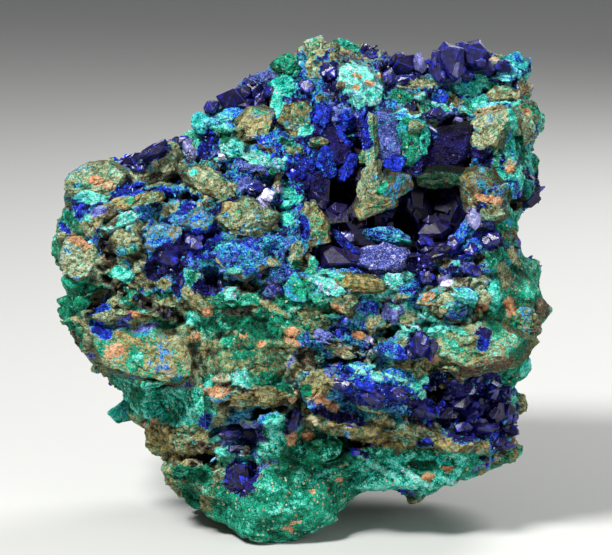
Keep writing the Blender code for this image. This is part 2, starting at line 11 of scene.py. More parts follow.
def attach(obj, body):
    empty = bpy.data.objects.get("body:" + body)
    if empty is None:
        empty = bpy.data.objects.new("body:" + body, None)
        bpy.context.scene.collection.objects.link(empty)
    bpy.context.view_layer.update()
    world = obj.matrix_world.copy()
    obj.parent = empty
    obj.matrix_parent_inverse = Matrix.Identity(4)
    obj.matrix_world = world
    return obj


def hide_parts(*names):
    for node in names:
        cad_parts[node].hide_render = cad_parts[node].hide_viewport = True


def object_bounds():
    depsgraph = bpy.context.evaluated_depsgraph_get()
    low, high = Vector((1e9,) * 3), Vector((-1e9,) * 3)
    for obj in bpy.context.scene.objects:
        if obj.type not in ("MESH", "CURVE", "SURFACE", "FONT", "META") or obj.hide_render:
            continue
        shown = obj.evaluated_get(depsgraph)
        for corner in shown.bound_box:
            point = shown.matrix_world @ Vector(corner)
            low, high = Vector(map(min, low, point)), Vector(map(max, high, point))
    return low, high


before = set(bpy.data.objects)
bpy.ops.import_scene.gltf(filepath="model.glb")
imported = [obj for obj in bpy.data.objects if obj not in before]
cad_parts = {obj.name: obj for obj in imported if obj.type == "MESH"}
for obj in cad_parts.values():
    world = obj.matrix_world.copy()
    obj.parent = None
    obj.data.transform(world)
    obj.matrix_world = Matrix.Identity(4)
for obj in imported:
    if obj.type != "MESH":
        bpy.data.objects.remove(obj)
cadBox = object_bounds()
mm = 0.001

boxMargin = 1.2
# The display face leans back. On it x runs to the right, h climbs from the toe and d runs into the rock, all in mm.
face = {"tilt": math.radians(10), "toeDrop": 2.4}
intoRock = Vector((0, math.cos(face["tilt"]), -math.sin(face["tilt"])))
upFace = Vector((0, math.sin(face["tilt"]), math.cos(face["tilt"])))
faceTurn = Matrix((Vector((1, 0, 0)), upFace, -intoRock)).transposed()


def onFace(x, h, d=0.0):
    return (Vector((x, 0, 0)) + upFace * (h - face["toeDrop"]) + intoRock * d) * mm


def faceFrame(points):
    # points in mm become columns x, h and d
    h = points @ np.array(upFace) + face["toeDrop"]
    return np.stack([points[:, 0], h, points @ np.array(intoRock)], axis=1)


def turned(turn, lift, swing):
    # a turn within the display face, then a lift upwards and a swing to the right, in degrees
    return faceTurn @ (Matrix.Rotation(math.radians(swing), 3, "Y") @ Matrix.Rotation(math.radians(-lift), 3, "X")
                       @ Matrix.Rotation(math.radians(turn), 3, "Z"))


def keptInBox(points):
    # the stone may pass the solid's box by a little over a millimetre, but never the floor
    low, high = np.array(cadBox[0]) / mm, np.array(cadBox[1]) / mm
    return np.clip(points, low - np.array([boxMargin, boxMargin, 0]), high + boxMargin)


def linear(hexColour):
    # sRGB hex to the linear values that Blender's sockets take
    out = []
    for i in (1, 3, 5):
        c = int(hexColour[i:i + 2], 16) / 255
        out.append(c / 12.92 if c <= 0.04045 else ((c + 0.055) / 1.055) ** 2.4)
    return (*out, 1.0)


def addNode(tree, kind, inputs=(), stops=(), **settings):
    # a node with its settings, links and values; a node given as a value stands for its first output in use
    node = tree.nodes.new(kind)
    for name, value in settings.items():
        setattr(node, name, value)
    for key, value in inputs.items() if isinstance(inputs, dict) else enumerate(inputs):
        if isinstance(value, bpy.types.Node):
            value = next(socket for socket in value.outputs if socket.enabled)
        if isinstance(value, bpy.types.NodeSocket):
            tree.links.new(value, node.inputs[key])
        else:
            node.inputs[key].default_value = value
    if stops:
        bar = node.color_ramp.elements
        bar.remove(bar[1])
        bar[0].position = stops[0][0]
        for position, _ in stops[1:]:
            bar.new(position)
        for element, (_, hexColour) in zip(bar, stops):
            element.color = linear(hexColour)
    return node


def newMaterial(name):
    # an empty material, and addNode for its tree
    material = bpy.data.materials.new(name)
    material.use_nodes = True
    material.node_tree.nodes.clear()
    return material, partial(addNode, material.node_tree)


def triangleCount(mesh):
    return sum(len(p.vertices) - 2 for p in mesh.polygons)


def meshOf(bm, name):
    # a mesh from a bmesh that is then done with
    mesh = bpy.data.meshes.new(name)
    bm.to_mesh(mesh)
    bm.free()
    return mesh


def pourInto(bm, own):
    piece = meshOf(own, "piece")
    bm.from_mesh(piece)
    bpy.data.meshes.remove(piece)


def surfaceTree(points, mesh):
    # a tree to cast rays at, with its points in the unit they are given in
    return BVHTree.FromPolygons([Vector(c) for c in points], [tuple(p.vertices) for p in mesh.polygons])


def hullOf(bm):
    # wraps the points in a convex hull and drops those inside it
    bmesh.ops.convex_hull(bm, input=bm.verts)
    bmesh.ops.delete(bm, geom=[v for v in bm.verts if not v.link_faces], context="VERTS")


def addObject(name, mesh):
    made = bpy.data.objects.new(name, mesh)
    bpy.context.scene.collection.objects.link(made)
    return made


def plainMesh(obj, name):
    # the evaluated shape as a mesh of its own
    evaluated = obj.evaluated_get(bpy.context.evaluated_depsgraph_get())
    mesh = bpy.data.meshes.new_from_object(evaluated, preserve_all_data_layers=True,
                                           depsgraph=bpy.context.evaluated_depsgraph_get())
    mesh.name = name
    return mesh


def mergedCopy(node):
    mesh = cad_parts[node].data.copy()
    bm = bmesh.new()
    bm.from_mesh(mesh)
    bmesh.ops.remove_doubles(bm, verts=bm.verts, dist=1e-6)
    bm.to_mesh(mesh)
    bm.free()
    mesh.materials.clear()
    return mesh


# Noise on arrays of points, all in mm.
def latticeRandom(cells, seed):
    c = cells.astype(np.int64).astype(np.uint32)
    n = c[..., 0] * np.uint32(0x8DA6B343) ^ c[..., 1] * np.uint32(0xD8163841) ^ c[..., 2] * np.uint32(0xCB1AB31F)
    n ^= np.uint32((seed * 0x9E3779B1) & 0xFFFFFFFF)
    for shift, factor in ((15, 0x2C1B3C6D), (12, 0x297A2D39), (15, 0x1B56C4E9)):
        n ^= n >> np.uint32(shift)
        n = n * np.uint32(factor)
    return (n ^ (n >> np.uint32(14))) / 4294967295.0


def softNoise(points, size, seed):
    # smooth noise from -1 to 1 with lumps about this size
    p = points / size
    base = np.floor(p)
    t = p - base
    t = t * t * t * (t * (t * 6 - 15) + 10)
    total = np.zeros(len(points))
    for corner in np.ndindex(2, 2, 2):
        weight = np.prod(np.where(np.array(corner) == 1, t, 1 - t), axis=1)
        total += weight * latticeRandom(base + corner, seed)
    return total * 2 - 1


def fractalNoise(points, size, seed, octaves=3, fade=0.55):
    total, gain, reach = 0, 1, 0
    for i in range(octaves):
        total = total + gain * softNoise(points, size / 2 ** i, seed + 31 * i)
        reach += gain
        gain *= fade
    return total / reach * 1.4


def cellNoise(points, size, seed):
    # distance to the nearest and second nearest cell centres, the nearest cell, and the way to it
    p = points / size
    base = np.floor(p)
    near = np.full(len(points), 9.0)
    second = np.full(len(points), 9.0)
    cell = np.zeros_like(points)
    way = np.zeros_like(points)
    for corner in np.ndindex(3, 3, 3):
        c = base + np.array(corner) - 1
        centre = c + np.stack([latticeRandom(c, seed + k) for k in range(3)], axis=1)
        gap = p - centre
        dist = np.sqrt((gap ** 2).sum(1))
        closer = dist < near
        second = np.where(closer, near, np.minimum(second, dist))
        near = np.where(closer, dist, near)
        cell = np.where(closer[:, None], c, cell)
        way = np.where(closer[:, None], gap, way)
    return near, second, cell, way


def chippedRelief(points, size, seed):
    # broken facets: each cell has its own height and slant; also how near a point is to a joint
    near, second, cell, way = cellNoise(points, size, seed)
    slant = np.stack([latticeRandom(cell, seed + 11 + k) - 0.5 for k in range(3)], axis=1)
    height = latticeRandom(cell, seed + 17) - 0.5 + (slant * way).sum(1) * 1.6
    return height, np.clip((second - near) / 0.22, 0, 1)


def smoothStep(low, high, value):
    t = np.clip((value - low) / (high - low), 0, 1)
    return t * t * (3 - 2 * t)


def facingShare(normals):
    # 1 on the display face, 0 on the sides and back
    return smoothStep(0.35, 0.0, normals @ np.array(intoRock))


class Skin:
    # a mesh as arrays in mm, with a way to average along its edges

    def __init__(self, mesh):
        self.mesh = mesh
        count = len(mesh.vertices)
        self.co = np.empty(count * 3)
        mesh.vertices.foreach_get("co", self.co)
        self.co = self.co.reshape(-1, 3) / mm
        edges = np.empty(len(mesh.edges) * 2, np.int64)
        mesh.edges.foreach_get("vertices", edges)
        self.ends = edges.reshape(-1, 2)
        self.degree = np.maximum(np.bincount(self.ends.ravel(), minlength=count), 1)
        self.normal = self.normals()
        self.wander = np.zeros_like(self.co)

    def normals(self):
        n = np.empty(len(self.mesh.vertices) * 3)
        self.mesh.vertex_normals.foreach_get("vector", n)
        return n.reshape(-1, 3)

    def averaged(self, values, times):
        a, b = self.ends.T
        for _ in range(times):
            columns = [np.bincount(a, values[:, k][b], len(values)) + np.bincount(b, values[:, k][a], len(values))
                       for k in range(values.shape[1])]
            values = 0.5 * values + 0.5 * np.stack(columns, axis=1) / self.degree[:, None]
        return values

    def write(self):
        self.mesh.vertices.foreach_set("co", (self.co * mm).ravel())
        self.mesh.update()
        self.normal = self.normals()

    def hollowness(self, times, scale):
        # above 0 in a hollow, below 0 on a bump
        return ((self.averaged(self.co, times) - self.co) * self.normal).sum(1) / scale

    def store(self, name, values):
        if values.ndim == 1:
            layer = self.mesh.attributes.new(name, "FLOAT", "POINT")
            layer.data.foreach_set("value", values.astype(np.float32))
        else:
            layer = self.mesh.attributes.new(name, "FLOAT_COLOR", "POINT")
            layer.data.foreach_set("color", values.astype(np.float32).ravel())

    def storeStains(self, shares):
        for k, name in enumerate(stainLayers):
            self.store(name, shares[:, 4 * k:4 * k + 4])


# What each mineral is a mixture of. The shader reads twelve parts, four to a colour attribute.
stainLayers = ("stainA", "stainB", "stainC")
# Of these parts, shade is painted shade, and the pale lilac part is painted sheen: glints and reflections of light on
# azurite faces.
parts = ["pale", "ochre", "brown", "salmon", "malachite", "deep", "turquoise", "shade",
         "azurite", "indigo", "slate", "lilac"]
minerals = {
    "tan": {"malachite": 0.24, "ochre": 0.3, "pale": 0.2}, "pale": {"pale": 0.66, "malachite": 0.3, "ochre": 0.26},
    "olive": {"ochre": 0.5, "malachite": 0.26, "brown": 0.26},
    "ochre": {"ochre": 0.6, "pale": 0.44, "malachite": 0.24}, "salmon": {"salmon": 0.95, "pale": 0.3},
    "pink": {"salmon": 0.45, "pale": 0.8}, "brown": {"brown": 0.9}, "green": {"malachite": 1.0, "turquoise": 0.06},
    "deep": {"malachite": 0.7, "deep": 0.72}, "turquoise": {"malachite": 0.6, "turquoise": 0.75},
    "ice": {"turquoise": 0.8, "pale": 0.8, "malachite": 0.14, "lilac": 0.3},
    "azure": {"azurite": 0.8, "turquoise": 0.22, "indigo": 0.3}, "indigo": {"azurite": 0.6, "indigo": 0.9},
    "violet": {"indigo": 0.55, "slate": 0.6, "azurite": 0.4}, "slate": {"slate": 0.9}, "lilac": {"lilac": 0.9},
    # The mixture for dark holes and the roof, wall and wedge mixtures carry painted shade; ice, slabBlue and fan carry
    # some painted lilac sheen.
    "void": {"shade": 0.5, "brown": 0.6, "indigo": 0.34},
    "greenTan": {"malachite": 0.38, "pale": 0.42, "ochre": 0.36, "brown": 0.1},
    "slabBlue": {"azurite": 0.5, "slate": 0.8, "lilac": 0.1}, "roof": {"brown": 0.7, "deep": 0.6, "shade": 0.62},
    "wall": {"indigo": 0.95, "shade": 0.3, "brown": 0.5},
    "moss": {"malachite": 0.42, "deep": 0.34, "ochre": 0.42, "brown": 0.4}, "fan": {"slate": 0.95, "lilac": 0.3},
    "aqua": {"turquoise": 0.8, "azurite": 0.24, "malachite": 0.4}, "jade": {"malachite": 1.0, "turquoise": 0.42},
    "rust": {"ochre": 0.66, "azurite": 0.24, "malachite": 0.34, "turquoise": 0.1, "brown": 0.36},
    "wedge": {"ochre": 0.46, "brown": 0.5, "malachite": 0.3, "shade": 0.42},
    "blueGreen": {"azurite": 0.5, "malachite": 0.5, "turquoise": 0.3},
    "mixedBlue": {"azurite": 0.5, "malachite": 0.45, "slate": 0.3, "turquoise": 0.5, "indigo": 0.2, "pale": 0.3},
}
# How far each stands proud of the rock, in mm, on a patch about 4 mm across.
proud = {
    "tan": 0.8, "pale": 0.8, "olive": 0.5, "ochre": 0.6, "salmon": 0.08, "pink": 0.3, "brown": -0.4, "green": 0.35,
    "deep": -0.3, "turquoise": 0.45, "ice": 0.6, "azure": -0.1, "indigo": 0.1, "violet": 0.1, "slate": 0.2,
    "lilac": 0.2, "void": -0.9, "greenTan": 0.3, "blueGreen": 0.1, "mixedBlue": 0.0, "moss": 0.3, "aqua": 0.4,
    "jade": 0.3, "rust": 0.5,
}

# Broad grounds of mineral on the display face: mineral, x, h, half width, half height, turn, share. The deep ground
# under the foot's ledge is painted shade.
grounds = [
    ("greenTan", 0, 30, 46, 34, 0, 0.9), ("pale", -27, 58, 16, 12, 0, 0.7), ("greenTan", -25, 33, 18, 13, 0, 1.0),
    ("deep", -42, 46, 5, 18, 0, 0.8), ("mixedBlue", -24, 64, 18, 5, 12, 0.9), ("mixedBlue", -20, 50, 9, 6, 0, 1.0),
    ("jade", -24, 26, 11, 6, 0, 1.0), ("olive", -25, 18, 8, 6, 0, 0.8), ("azure", 3, 72, 16, 12, 0, 0.7),
    ("mixedBlue", -8, 56, 12, 9, 0, 0.85), ("mixedBlue", 2, 49, 18, 6, -8, 0.85), ("mixedBlue", -8, 79, 9, 7, 0, 0.8),
    ("jade", -14, 73, 7, 5, 30, 0.8), ("indigo", 26, 84, 14, 6, 0, 0.8), ("green", 33, 78, 13, 8, 0, 0.7),
    ("jade", 35, 68, 8, 9, 0, 0.7), ("green", 38, 42, 10, 20, 0, 0.9), ("ice", 22, 42, 12, 6, 0, 1.0),
    ("azure", 24, 48, 9, 5, -20, 0.8), ("green", -6, 40, 14, 5, 0, 0.9), ("olive", 0, 34, 12, 5, 0, 0.9),
    ("mixedBlue", 8, 35, 9, 5, 0, 0.9), ("green", -2, 7, 16, 10, 0, 1.1), ("jade", 20, 13, 18, 6, 0, 0.9),
    ("mixedBlue", 13, 26, 14, 5, -14, 0.9), ("indigo", 31, 23, 9, 7, 0, 1.0), ("olive", 18, 19, 14, 3, -6, 0.9),
    ("mixedBlue", -8, 21, 8, 6, 0, 0.8), ("indigo", 20, 60, 14, 12, 0, 0.9), ("deep", 2, 16, 7, 4, 0, 1.0),
    ("turquoise", 40, 73, 5, 18, 0, 0.6),
]

# Broad grounds on the other sides: mineral, size in mm, seed, and from which noise level to which it comes in.
aroundGrounds = [
    ("greenTan", 26, 64, -0.3, 0.3), ("olive", 20, 65, 0.1, 0.35), ("green", 24, 66, 0.05, 0.25),
    ("deep", 15, 67, 0.3, 0.5), ("mixedBlue", 22, 68, 0.12, 0.3), ("indigo", 13, 69, 0.38, 0.5),
    ("brown", 10, 70, 0.42, 0.55),
]

# Patches of mineral on the display face, in mm: x, h, half width, half height and, where it matters, turn in degrees.
patches = {
    "brown": [
        (-35.4, 53.2, 2.6, 1.9, 20), (-24.5, 64, 5, 1.2, 10), (-43, 52, 1.5, 1.8), (-34, 49.8, 2.2, 1.8),
        (-9, 70.6, 3, 0.6), (6.5, 79.5, 0.8, 2), (3.2, 78.6, 0.9, 0.8), (-5.5, 69, 1.2, 0.7), (-16, 60.5, 1.4, 1),
        (31.5, 84.7, 3, 1.2), (39.8, 78.7, 2.2, 0.9), (27.5, 76.3, 2.5, 0.6), (-13.5, 46.9, 3.5, 1),
        (1.3, 51, 0.7, 3), (-9, 45, 2, 1), (1, 33, 2.5, 1.5), (31, 31.0, 6, 1.5), (42, 37.5, 1.8, 2.5),
        (42.5, 42, 1.5, 2.5), (-26.6, 23.7, 0.7, 0.5), (-24.6, 22.2, 1, 0.4), (-17.5, 17.5, 2.5, 1),
        (-12, 28.5, 1.6, 0.8), (25.5, 30.5, 3, 0.8), (26, 14.5, 1, 0.6), (20.5, 9.8, 1.2, 0.6), (13.5, 8.6, 3, 0.7),
        (-3, 1, 3, 0.5), (-17.5, 3.5, 1.5, 0.8), (23.5, 50.8, 2.5, 1.5), (37.5, 18.3, 2, 1), (-33, 57.5, 1.5, 2.2),
        (9, 86, 3, 1.5), (25, 63.5, 4.5, 2),
    ],
    "tan": [
        (-0.7, 74.7, 3, 3.2), (-8.2, 73.3, 3.4, 3.2, 20), (5.5, 87.5, 2, 1.2), (3, 70.3, 1.6, 1),
        (10.9, 68, 0.9, 1.2), (35.5, 79.5, 3, 1.6), (17.5, 53.7, 1.2, 0.8), (-4, 41.5, 3, 0.6),
        (-18, 43, 3.5, 1.4, -40), (-40, 39.3, 2.5, 0.5), (3, 28.5, 3.5, 2), (-16, 6.8, 2, 1.9),
        (2.6, 55.5, 2.2, 3.3, 10), (-27, 46.2, 2, 1), (-21.5, 33, 3.2, 4, 20), (24, 41, 3.5, 0.6),
    ],
    "olive": [
        (-31.0, 59.6, 5.6, 1.4, 24), (-35, 57, 1.6, 0.9), (-26.0, 60.4, 2.6, 1.3, 25), (-23.5, 46, 1.3, 0.9),
        (26.5, 78.5, 2, 1), (9.5, 46, 5.5, 1.6, -6), (36.5, 54.5, 1.6, 1), (-30, 36.5, 3, 0.7),
        (-6.5, 26.5, 6, 2, 10), (8, 20.5, 5, 1.5, -7), (10, 20.5, 4, 1.6, -7), (27, 18, 3, 1.3), (29, 18.7, 1.6, 0.9),
        (36, 15, 2.5, 1.3), (-7.5, 2.2, 2, 0.7), (-19.5, 14, 2.6, 0.8), (24.5, 17, 1.5, 1.3), (-25, 18, 3.5, 2.6),
    ],
    "ochre": [
        (-39.5, 63.5, 1.5, 2.5), (-11.2, 58.2, 2.6, 1.8, -8), (-13, 49.5, 2, 1.2), (-5, 49.5, 2, 0.8),
        (13, 39, 2, 1.5), (32, 17, 1.5, 1), (32.8, 12.5, 1.2, 1), (33, 11, 0.9, 0.8), (36.3, 66.5, 1.3, 1.4),
    ],
    "pale": [
        (-33.5, 67, 2.5, 1.5), (-35.9, 63.6, 5.7, 4.3, 8), (-25.2, 65.9, 4.9, 2.8, 20), (-22.8, 69, 1.8, 1.8, 30),
        (-16.0, 63.3, 4.9, 2.5, -28), (-30.2, 52.6, 3.3, 2.8), (-38.8, 49.7, 3.8, 4.1), (-41, 54.5, 2, 1),
        (-27.8, 48.8, 1.3, 1.4), (-31, 41.0, 6, 1.2, 3), (4, 85.3, 1.5, 1), (-9.2, 56.6, 5.2, 3.5, -8),
        (20.5, 80.8, 3.5, 0.9), (32.2, 72.4, 5.4, 3.2, 20), (23, 80.3, 1, 0.6), (-11.5, 56.5, 2, 1.2),
        (-1, 51.5, 1.2, 1.8), (-1, 41.6, 1, 0.5), (17, 43.2, 1.3, 1), (18, 39.7, 1.5, 1.2), (24, 44.2, 5.2, 1.8),
        (30.5, 46, 2, 1.5), (31.5, 43.5, 1.5, 1.5), (35.5, 47, 1.2, 2.5), (37.3, 50.5, 1, 2.2, 25),
        (37, 31.8, 1.2, 0.8), (-37.5, 35.5, 0.6, 2), (-36.5, 39, 1.8, 1.5), (-18, 28, 1.3, 6, 8), (-15.5, 24, 3, 2.5),
        (11, 24.2, 1.6, 0.6, -30), (14.5, 22.6, 2.2, 0.6, -30), (18, 20.7, 1.8, 0.6, -30), (21.5, 20.3, 2.5, 1),
        (27.5, 12, 3, 2), (3.8, 21.3, 1.2, 0.7), (6.3, 20.4, 1.2, 0.7), (-15, 12.3, 0.8, 2), (27.5, 29.8, 2, 0.8),
        (39.5, 73.5, 2, 2.7), (7, 34, 3, 1), (4, 12.8, 1.5, 0.4, 30), (6.6, 14, 1.5, 0.4, 25), (-3, 35.8, 2, 1),
        (-36, 30.8, 2, 1.4, 30),
    ],
    "greenTan": [
        (2.5, 87.5, 2, 2.2), (-1, 69, 1.5, 1.3), (40.5, 76.5, 2.2, 1.8), (31.0, 34.9, 8.2, 4.6, -5),
        (-27, 33.5, 8.6, 4.6, -8), (7.5, 42.5, 2.2, 2), (-24, 13.3, 2.5, 1.3), (-19.5, 21, 3, 1.2),
        (7.5, 6.5, 1.2, 2),
    ],
    "aqua": [
        (-13.4, 74.2, 4.2, 2.8, 12), (-17.4, 74.0, 2.0, 2.2, 20), (-12.5, 69.8, 2.5, 1.5), (38.5, 85.3, 2.3, 1.9),
        (36.5, 83, 2.5, 1.3), (36.8, 69.2, 1.4, 2.2), (28, 44, 2.5, 1.2), (-11.6, 51.8, 2.4, 1.2),
        (35.8, 73.4, 1.5, 3.4, 6), (33.2, 76.6, 2.6, 1.0, -8), (20.4, 43.0, 2.2, 1.2, 10), (24.8, 39.2, 3.4, 0.9),
    ],
    "jade": [
        (-23, 25, 8, 3.6, -6), (-20.5, 25.5, 3.4, 2.5), (-4.6, 19.2, 2.4, 4.4, -14), (20, 12.5, 10, 3.4, 8),
    ],
    "moss": [
        (-8, 33, 6.2, 4.8), (2, 39.5, 3, 2.3), (-3, 33.5, 2.5, 3), (38.5, 38, 4, 4),
    ],
    "rust": [
        (-23.6, 53.8, 3.4, 3.2, 8), (-17.2, 56.4, 2.6, 2.2), (-12.2, 53.6, 2.0, 1.4, 20),
    ],
    "ice": [
        (-36.5, 61, 3, 1.5), (-30.2, 57.0, 5.4, 1.3, 27), (9.8, 81.8, 4.4, 2.9, -10), (11.6, 79.0, 3.3, 2.5, 16),
        (-12.5, 69.8, 2.5, 1.5), (-7, 67.2, 3.5, 1.1, -15), (-3.5, 66.5, 2, 1.2), (24, 77, 3, 1),
        (-11.8, 44.2, 1.4, 1.3), (4.8, 45.3, 3, 1.4), (16, 46.5, 2, 1.3), (17.5, 47.3, 2.2, 1), (-9.5, 29.5, 2, 1.5),
        (8, 31.5, 2.2, 0.7, -10), (13, 30.2, 3, 0.7, -12), (17.6, 28.9, 2, 0.7, -20), (21.7, 26, 1.4, 0.8, -50),
        (-8, 14.7, 2, 0.8), (10.5, 31, 3, 0.7), (-2.4, 86.2, 1.4, 0.5), (14, 13.2, 3, 0.7, -28),
        (20, 12, 3.4, 0.6, -30), (26.5, 10.8, 2, 0.5, -25), (36.5, 24, 0.6, 1), (21, 78.5, 1.4, 0.7),
    ],
    "green": [
        (-39.5, 46, 2.5, 1.2), (8.5, 88.7, 2.3, 1), (17.5, 78.5, 2.5, 1.2), (36.8, 29, 1.8, 1.3),
        (39.5, 51, 1.2, 2.5), (40.5, 45, 2.5, 2), (35.5, 56.5, 2, 1.5), (36, 70.5, 1.4, 1.5), (-1, 45, 2.5, 2.3),
        (4, 53, 1.2, 1), (2, 48.8, 0.8, 1.6), (-3, 7.4, 12.3, 7), (-2.3, 84.8, 2.4, 2.2), (14, 62.3, 1.4, 0.6, 60),
        (13, 57.6, 1, 0.7), (7, 12.2, 2.4, 1.2, 30), (-11, 35.5, 2.4, 1.4), (31, 13.6, 2, 1.2), (41, 57, 1, 2.5),
        (42, 67, 0.8, 3),
    ],
    # Dark green, partly real deep malachite and partly painted shade: many of these lie in recesses and under ledges.
    "deep": [
        (2, 16.4, 5.2, 2.8, 6), (-27.6, 43.2, 3.4, 1.7, 6), (-41.0, 57.4, 1.4, 2.0, 80), (-37.5, 43.5, 4, 2, 20),
        (-41.7, 42.5, 0.9, 1.6), (-27, 43.8, 4.5, 0.6), (-18.5, 47, 1.5, 1.3), (-14.5, 71.8, 2.2, 1.4),
        (-2.5, 70.5, 2, 0.8), (-0.8, 49.3, 1.1, 0.9), (-12, 42.3, 2, 0.9), (-8, 38.5, 5.5, 1.7), (38, 48, 2, 0.7),
        (33, 51, 1.6, 1.6), (-40, 42, 3, 1.5), (-41.2, 38, 1.3, 1.2), (-23.5, 39.2, 2.7, 1.2),
        (-19.5, 12.5, 3.5, 1.7), (0.8, 27.5, 1.2, 1.1), (-4, 28.8, 3, 0.9), (-19.5, 6, 1.6, 3.4), (38.8, 27, 0.7, 2),
        (38.5, 69.5, 1, 3), (8.5, 68.6, 1.2, 0.8), (21.5, 14, 3, 0.8, -10), (-28.8, 26, 1.5, 1.8),
        (33.5, 38.5, 1.3, 0.8, -40), (-32, 47.6, 1.4, 0.8), (42.3, 70, 0.8, 2.5),
    ],
    "turquoise": [
        (29.6, 80.4, 3.0, 1.6, -10), (36.8, 69.2, 1.4, 2.2), (-33.5, 67.3, 2.2, 0.5), (-30.2, 66, 0.6, 1.8),
        (-18.5, 65, 0.8, 0.6), (-31, 46.5, 2.5, 0.9), (-31.5, 47.7, 1.4, 0.9), (-19, 40.2, 1.2, 1),
        (-3.2, 80.8, 2.3, 2), (-4.5, 77.5, 1.4, 3), (1, 72.8, 1.5, 0.8), (-1.5, 60, 2.5, 0.8), (-2.3, 61.6, 1.6, 1),
        (31.5, 83, 1.8, 0.9), (33, 81.3, 2.5, 1.2), (26.5, 88.3, 2, 0.7), (42, 77.5, 0.8, 2), (31.5, 77.8, 1.8, 0.8),
        (36.8, 74.5, 0.7, 2.5), (39.5, 64.7, 1.8, 1.4), (13, 54.8, 3, 0.9), (16, 54.5, 3.6, 1, -10),
        (-13, 51.8, 1.8, 1), (-12.5, 48, 2.5, 0.5), (28, 44, 2.5, 1.2), (33.5, 44, 1.3, 2.3), (33, 52.9, 1.2, 0.5),
        (39.7, 56, 0.6, 3), (24, 39.3, 4.5, 0.6), (23, 37.8, 2, 1), (16.3, 42.3, 1.5, 0.8), (41.3, 32.7, 1, 1.3),
        (-13.5, 16.5, 2, 0.8), (-15, 18.8, 1.1, 0.7), (11, 28.3, 2.2, 0.8), (19, 25.5, 2, 0.8, -20),
        (20, 28, 1.2, 0.8), (21.5, 29, 1, 0.7), (37.7, 24, 0.6, 2.4), (40.2, 31.5, 1, 2.4), (-28, 33.3, 1, 0.7),
        (-2.5, 57, 1.2, 1.2), (27.5, 49.3, 1.6, 0.8), (22.3, 24.9, 1, 0.5, -30), (5, 66.5, 0.8, 0.8),
        (-37, 57.2, 1, 0.4), (-8.5, 21.6, 2, 0.6), (5.2, 47.4, 2, 0.5, -10),
    ],
    "azure": [
        (-30.5, 67.8, 3, 1), (-30.5, 66.3, 1.3, 0.6), (-30.5, 62, 3, 1.1), (-28.5, 62.8, 1, 1), (-23.5, 61.8, 2.5, 1),
        (-39.3, 58.8, 0.9, 2, 30), (-41.5, 55.6, 2.5, 0.5), (-21.3, 46, 0.9, 2.5), (-18, 52.5, 3, 2.5),
        (-16.5, 70, 1.8, 3), (3.5, 75.5, 1.8, 2.4), (9, 73, 3, 3), (11, 71, 1.2, 2), (-0.5, 65.5, 2.2, 2.4),
        (1.5, 63.5, 2, 2), (32.5, 66.5, 1, 0.7), (22.5, 72.3, 1.4, 1), (7.5, 52.6, 2.8, 0.6, -42), (25, 52, 3, 0.8),
        (26.5, 51.5, 2.2, 1.5), (27, 54, 1.3, 2.2), (21.5, 47, 1.5, 1.5), (31, 54, 1, 0.8), (41, 34.2, 1, 1.3),
        (31.5, 35.8, 1, 1.6), (6.7, 23, 2, 0.7), (21.8, 17.8, 1.5, 0.8), (31.5, 24.3, 2, 1.7), (34.5, 19.2, 2, 0.8),
        (-11.5, 9.7, 1.3, 0.7), (13, 27, 6, 2.4, -14), (-34.5, 37.9, 2.2, 1.2), (17.5, 27.5, 2.5, 1.2, -12),
        (7, 37.8, 2.4, 0.9), (9, 26, 2, 0.6), (6.5, 31, 2.5, 1.1), (0.6, 55.5, 0.9, 2.4), (-20, 59, 1.6, 1.2),
        (-14.8, 54.2, 1.4, 2), (-35.3, 41.4, 2.4, 0.7, 15), (-16.8, 22, 0.9, 1.4), (9.5, 58, 1, 2),
    ],
    "indigo": [
        (-25, 68.5, 3, 0.9, 30), (-20, 53, 1.3, 1.3), (-16, 45.5, 2, 1.5), (-22.5, 50, 2.5, 2.8), (-25, 48.5, 2, 1.8),
        (12.5, 87.8, 1.6, 1.8), (2.5, 62.5, 1.4, 1.4), (25, 69, 4, 2.6), (29, 68.3, 2, 1.8), (32, 67.8, 1.6, 1.5),
        (42.3, 63.5, 0.9, 3), (7, 50, 5, 2.2, -12), (20.5, 49.5, 2.5, 1.4), (33, 53.3, 2, 1.6),
        (31.7, 37.5, 1.2, 0.8), (23.5, 29, 2.5, 1.2), (21, 24, 3, 1.8, -20), (6, 23.3, 5, 1.1), (10.5, 16.2, 2, 0.6),
        (30.5, 24, 6.4, 5), (20.5, 35, 2.3, 2.2), (5, 83, 1.6, 1.5), (19.2, 85.3, 1.8, 2), (16, 82, 0.8, 1.3),
        (26, 85.2, 3.3, 3.5), (30.5, 87.5, 3, 1.8), (-1.2, 21.8, 1.3, 2.3, -15), (24, 57, 5, 5), (19, 58, 1.5, 2),
        (-10.3, 12, 3.4, 3),
    ],
    "violet": [
        (-11.8, 78.8, 3.3, 2.1), (-21.5, 70.7, 2, 1), (-33.5, 43.2, 1.8, 0.8), (-7, 82, 2.6, 1.7),
        (4.8, 78, 1.2, 1.7), (7.5, 74.5, 2.4, 2.4), (-8, 66, 3.5, 0.7, -12), (-15, 69, 1, 0.8),
        (-8.5, 62.5, 2.6, 1.2), (-5.5, 63, 1.6, 0.8), (23.5, 75.3, 2.8, 0.8), (27, 75.3, 1.5, 0.7),
        (19.3, 77.2, 1, 0.6), (-13.5, 56.5, 1.5, 1.1, -45), (-4.5, 44.8, 2.5, 1.4), (29.5, 48, 2, 1.4),
        (32.5, 56, 1.5, 0.8), (-37.5, 33, 1.3, 0.9), (-19.7, 28.3, 1, 0.8), (-12.5, 19.3, 2.5, 1.1),
        (-10.5, 19.7, 4.5, 1.1, -5), (2, 25.3, 1.2, 0.8), (5.3, 31, 1.2, 0.9), (8.5, 28.5, 2, 1.2),
        (-6, 14, 2.2, 0.5, 12), (33, 14, 3, 0.4), (-1.8, 32.5, 0.5, 1.8), (28, 27.3, 2.2, 1.2), (-30.5, 39.2, 2, 0.7),
